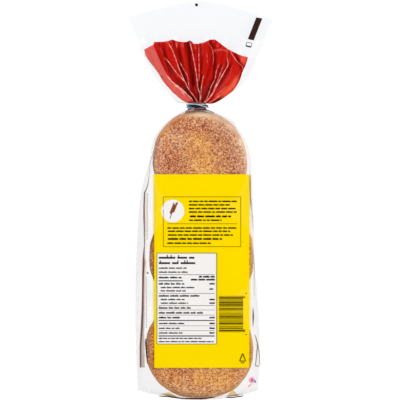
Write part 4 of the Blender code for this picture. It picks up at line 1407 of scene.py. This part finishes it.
def tie_paths():
    """The ribbon's turns round the neck and its twisted tail: places, outward ways and shade."""
    over = turn_round_neck(-100, 2 * math.pi, ((-1, 2.0), (-0.6, 2.1), (0.2, 1.3), (0.65, -0.2), (1, -1.4)),
                           0.0007, 0.0013)
    under = turn_round_neck(-80, 2 * math.pi, ((-1, -1.5), (-0.3, -1.5), (0.4, 1.2), (1, 1.4)), -0.0002)
    # A dark band under the turns, which carries painted shade inside them.
    core = turn_round_neck(-90, 2 * math.pi, ((-1, 0.1), (0.0, -0.1), (1, -0.3)), 0.0002, 0.0012)
    share = np.linspace(0, 1, 41)
    top = HALF_HEIGHT - NECK_HALF_HEIGHT - 0.0006
    tail = np.column_stack((np.full(41, NECK_X), np.full(41, (NECK_Y + NECK_END_Y) / 2 + 0.0015),
                            top - 0.0105 * share))
    twist = 2.25 * 2 * math.pi * share
    turned = np.column_stack((np.cos(twist), np.sin(twist), np.zeros(41)))
    thin = [(places, ways, 0.0 * sideways) for places, ways, sideways in (over, under)]
    thin.append((tail, turned, 0.15 + 0.0 * share))
    places, ways, sideways = core
    # Painted shade along it, from blue at the left to black at the right.
    dark = np.interp(sideways, (-1, -0.85, -0.65, -0.4, 0.5, 0.8), (0.3, 0.42, 0.62, 0.85, 0.9, 1.0))
    return thin, [(places, ways, dark)]


def ribbon_tree():
    """Geometry Nodes that turn paths into a flat ribbon with a wire along its middle."""
    tree, given = new_geometry_tree("flat_ribbon", (
        ("Ribbon Width", "Float"), ("Ribbon Thickness", "Float"), ("Wire Radius", "Float"),
        ("Ribbon Material", "Material")))
    curve = add_node(tree, "GeometryNodeMeshToCurve", {"Mesh": given["Geometry"]}).outputs[0]
    turned = add_node(tree, "GeometryNodeSetCurveNormal",
                      {"Curve": curve, "Normal": named(tree, "outward", "FLOAT_VECTOR")},
                      mode="FREE").outputs[0]
    flat = add_node(tree, "GeometryNodeCurvePrimitiveQuadrilateral",
                    {"Width": given["Ribbon Thickness"], "Height": given["Ribbon Width"]})
    wire = add_node(tree, "GeometryNodeCurvePrimitiveCircle",
                    {"Resolution": 8, "Radius": given["Wire Radius"]})
    swept = [add_node(tree, "GeometryNodeCurveToMesh",
                      {"Curve": turned, "Profile Curve": profile.outputs[0], "Fill Caps": True}
                      ).outputs[0] for profile in (flat, wire)]
    joined = add_node(tree, "GeometryNodeJoinGeometry")
    for mesh in swept:
        tree.links.new(mesh, joined.inputs[0])
    covered = add_node(tree, "GeometryNodeSetMaterial",
                       {"Geometry": joined.outputs[0], "Material": given["Ribbon Material"]})
    add_node(tree, "NodeGroupOutput", {"Geometry": covered.outputs[0]})
    return tree


def make_ribbon(name, paths, width, material):
    """A flat wired ribbon along its paths."""
    places, outward, shade, edges = [], [], [], []
    for path, ways, dark in paths:
        start = len(places)
        places += [tuple(p) for p in path]
        outward += [tuple(w / np.linalg.norm(w)) for w in ways]
        shade += list(dark)
        edges += [(start + k, start + k + 1) for k in range(len(path) - 1)]
    mesh = bpy.data.meshes.new(name + "_path")
    mesh.from_pydata(places, edges, [])
    path = bpy.data.objects.new(name + "_path", mesh)
    bpy.context.scene.collection.objects.link(path)
    set_attribute(path, "outward", outward, "FLOAT_VECTOR")
    set_attribute(path, "shade", shade)
    return grown(name, path, ribbon_tree(),
                 {"Ribbon Width": width, "Ribbon Thickness": 0.3 * MM, "Wire Radius": 0.2 * MM,
                  "Ribbon Material": material})


def make_tie(material):
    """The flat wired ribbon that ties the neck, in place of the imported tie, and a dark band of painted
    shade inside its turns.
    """
    thin, core = tie_paths()
    return [make_ribbon("tie_ribbon", thin, 0.85 * MM, material),
            make_ribbon("tie_ribbon_inside", core, 2.6 * MM, material)]


# ---- floor, light and camera ---------------------------------------------------------------------


def make_stage():
    """A white sheet to lie on, lit softly from both sides, and the camera that looks straight down."""
    material, tree = new_material("white_sheet")
    paper = add_node(tree, "ShaderNodeBsdfDiffuse", {"Color": (0.24, 0.24, 0.24, 1)}).outputs[0]
    glow = add_node(tree, "ShaderNodeEmission", {"Color": (1, 1, 1, 1), "Strength": 0.86}).outputs[0]
    finish_material(tree, add_node(tree, "ShaderNodeAddShader", {0: paper, 1: glow}).outputs[0])
    floor = link_mesh("white_sheet", [(-3, -3, 0), (3, -3, 0), (3, 3, 0), (-3, 3, 0)], [(0, 1, 2, 3)],
                      material, smooth=False)

    world = bpy.data.worlds.new("studio")
    world.use_nodes = True
    world.node_tree.nodes["Background"].inputs["Color"].default_value = (1, 1, 1, 1)
    world.node_tree.nodes["Background"].inputs["Strength"].default_value = 0.42
    bpy.context.scene.world = world
    for name, place, size, power in (("left_softbox", (-1.08, 0.10, 0.90), (1.6, 1.0), 8.6),
                                     ("right_softbox", (1.08, -0.10, 0.90), (1.6, 1.0), 8.6),
                                     ("left_strip", (-0.55, 0.30, 1.25), (1.2, 0.26), 2.2),
                                     ("right_strip", (0.55, 0.30, 1.25), (1.2, 0.26), 2.2)):
        light = bpy.data.lights.new(name, "AREA")
        light.shape = "RECTANGLE"
        light.size, light.size_y = size[1], size[0]
        light.energy = power
        lamp = bpy.data.objects.new(name, light)
        lamp.location = place
        lamp.rotation_euler = Vector(place).to_track_quat("Z", "Y").to_euler()
        bpy.context.scene.collection.objects.link(lamp)

    camera = bpy.data.cameras.new("camera")
    camera.lens = LENS_MM
    seen = bpy.data.objects.new("camera", camera)
    seen.location = (CAMERA_X, 0.0, HALF_HEIGHT + CAMERA_DISTANCE)
    bpy.context.scene.collection.objects.link(seen)
    bpy.context.scene.camera = seen
    bpy.context.scene.view_settings.view_transform = "Standard"
    bpy.context.scene.cycles.transparent_max_bounces = 32


def main():
    """Builds every piece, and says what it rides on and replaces."""
    make_stage()
    film = make_film(polyethylene_film())
    muffins = make_muffins(griddled_crust())
    cornmeal = scatter_cornmeal(muffins, ground_maize())
    red = red_gravure_ink()
    bands = [band_patch("red_band_upper", UPPER_FOLDS, 1, UPPER_BAND_EDGE, UPPER_BAND_LEFT,
                        UPPER_BAND_RIGHT, red, PRINT_LIFT),
             band_patch("red_band_lower", LOWER_FOLDS, -1, LOWER_BAND_EDGE, LOWER_BAND_LEFT,
                        LOWER_BAND_RIGHT, red, -PRINT_LIFT)]
    gathers = make_neck_gathers(gathered_film())
    for piece in (film, *muffins, cornmeal, *bands, gathers, *make_print(film)):
        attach(piece, "root")
    for piece in (film, *muffins, cornmeal):
        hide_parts("bag")
    for piece in make_tie(coated_tie_ribbon()):
        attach(piece, "root")
        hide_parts("tie")


main()
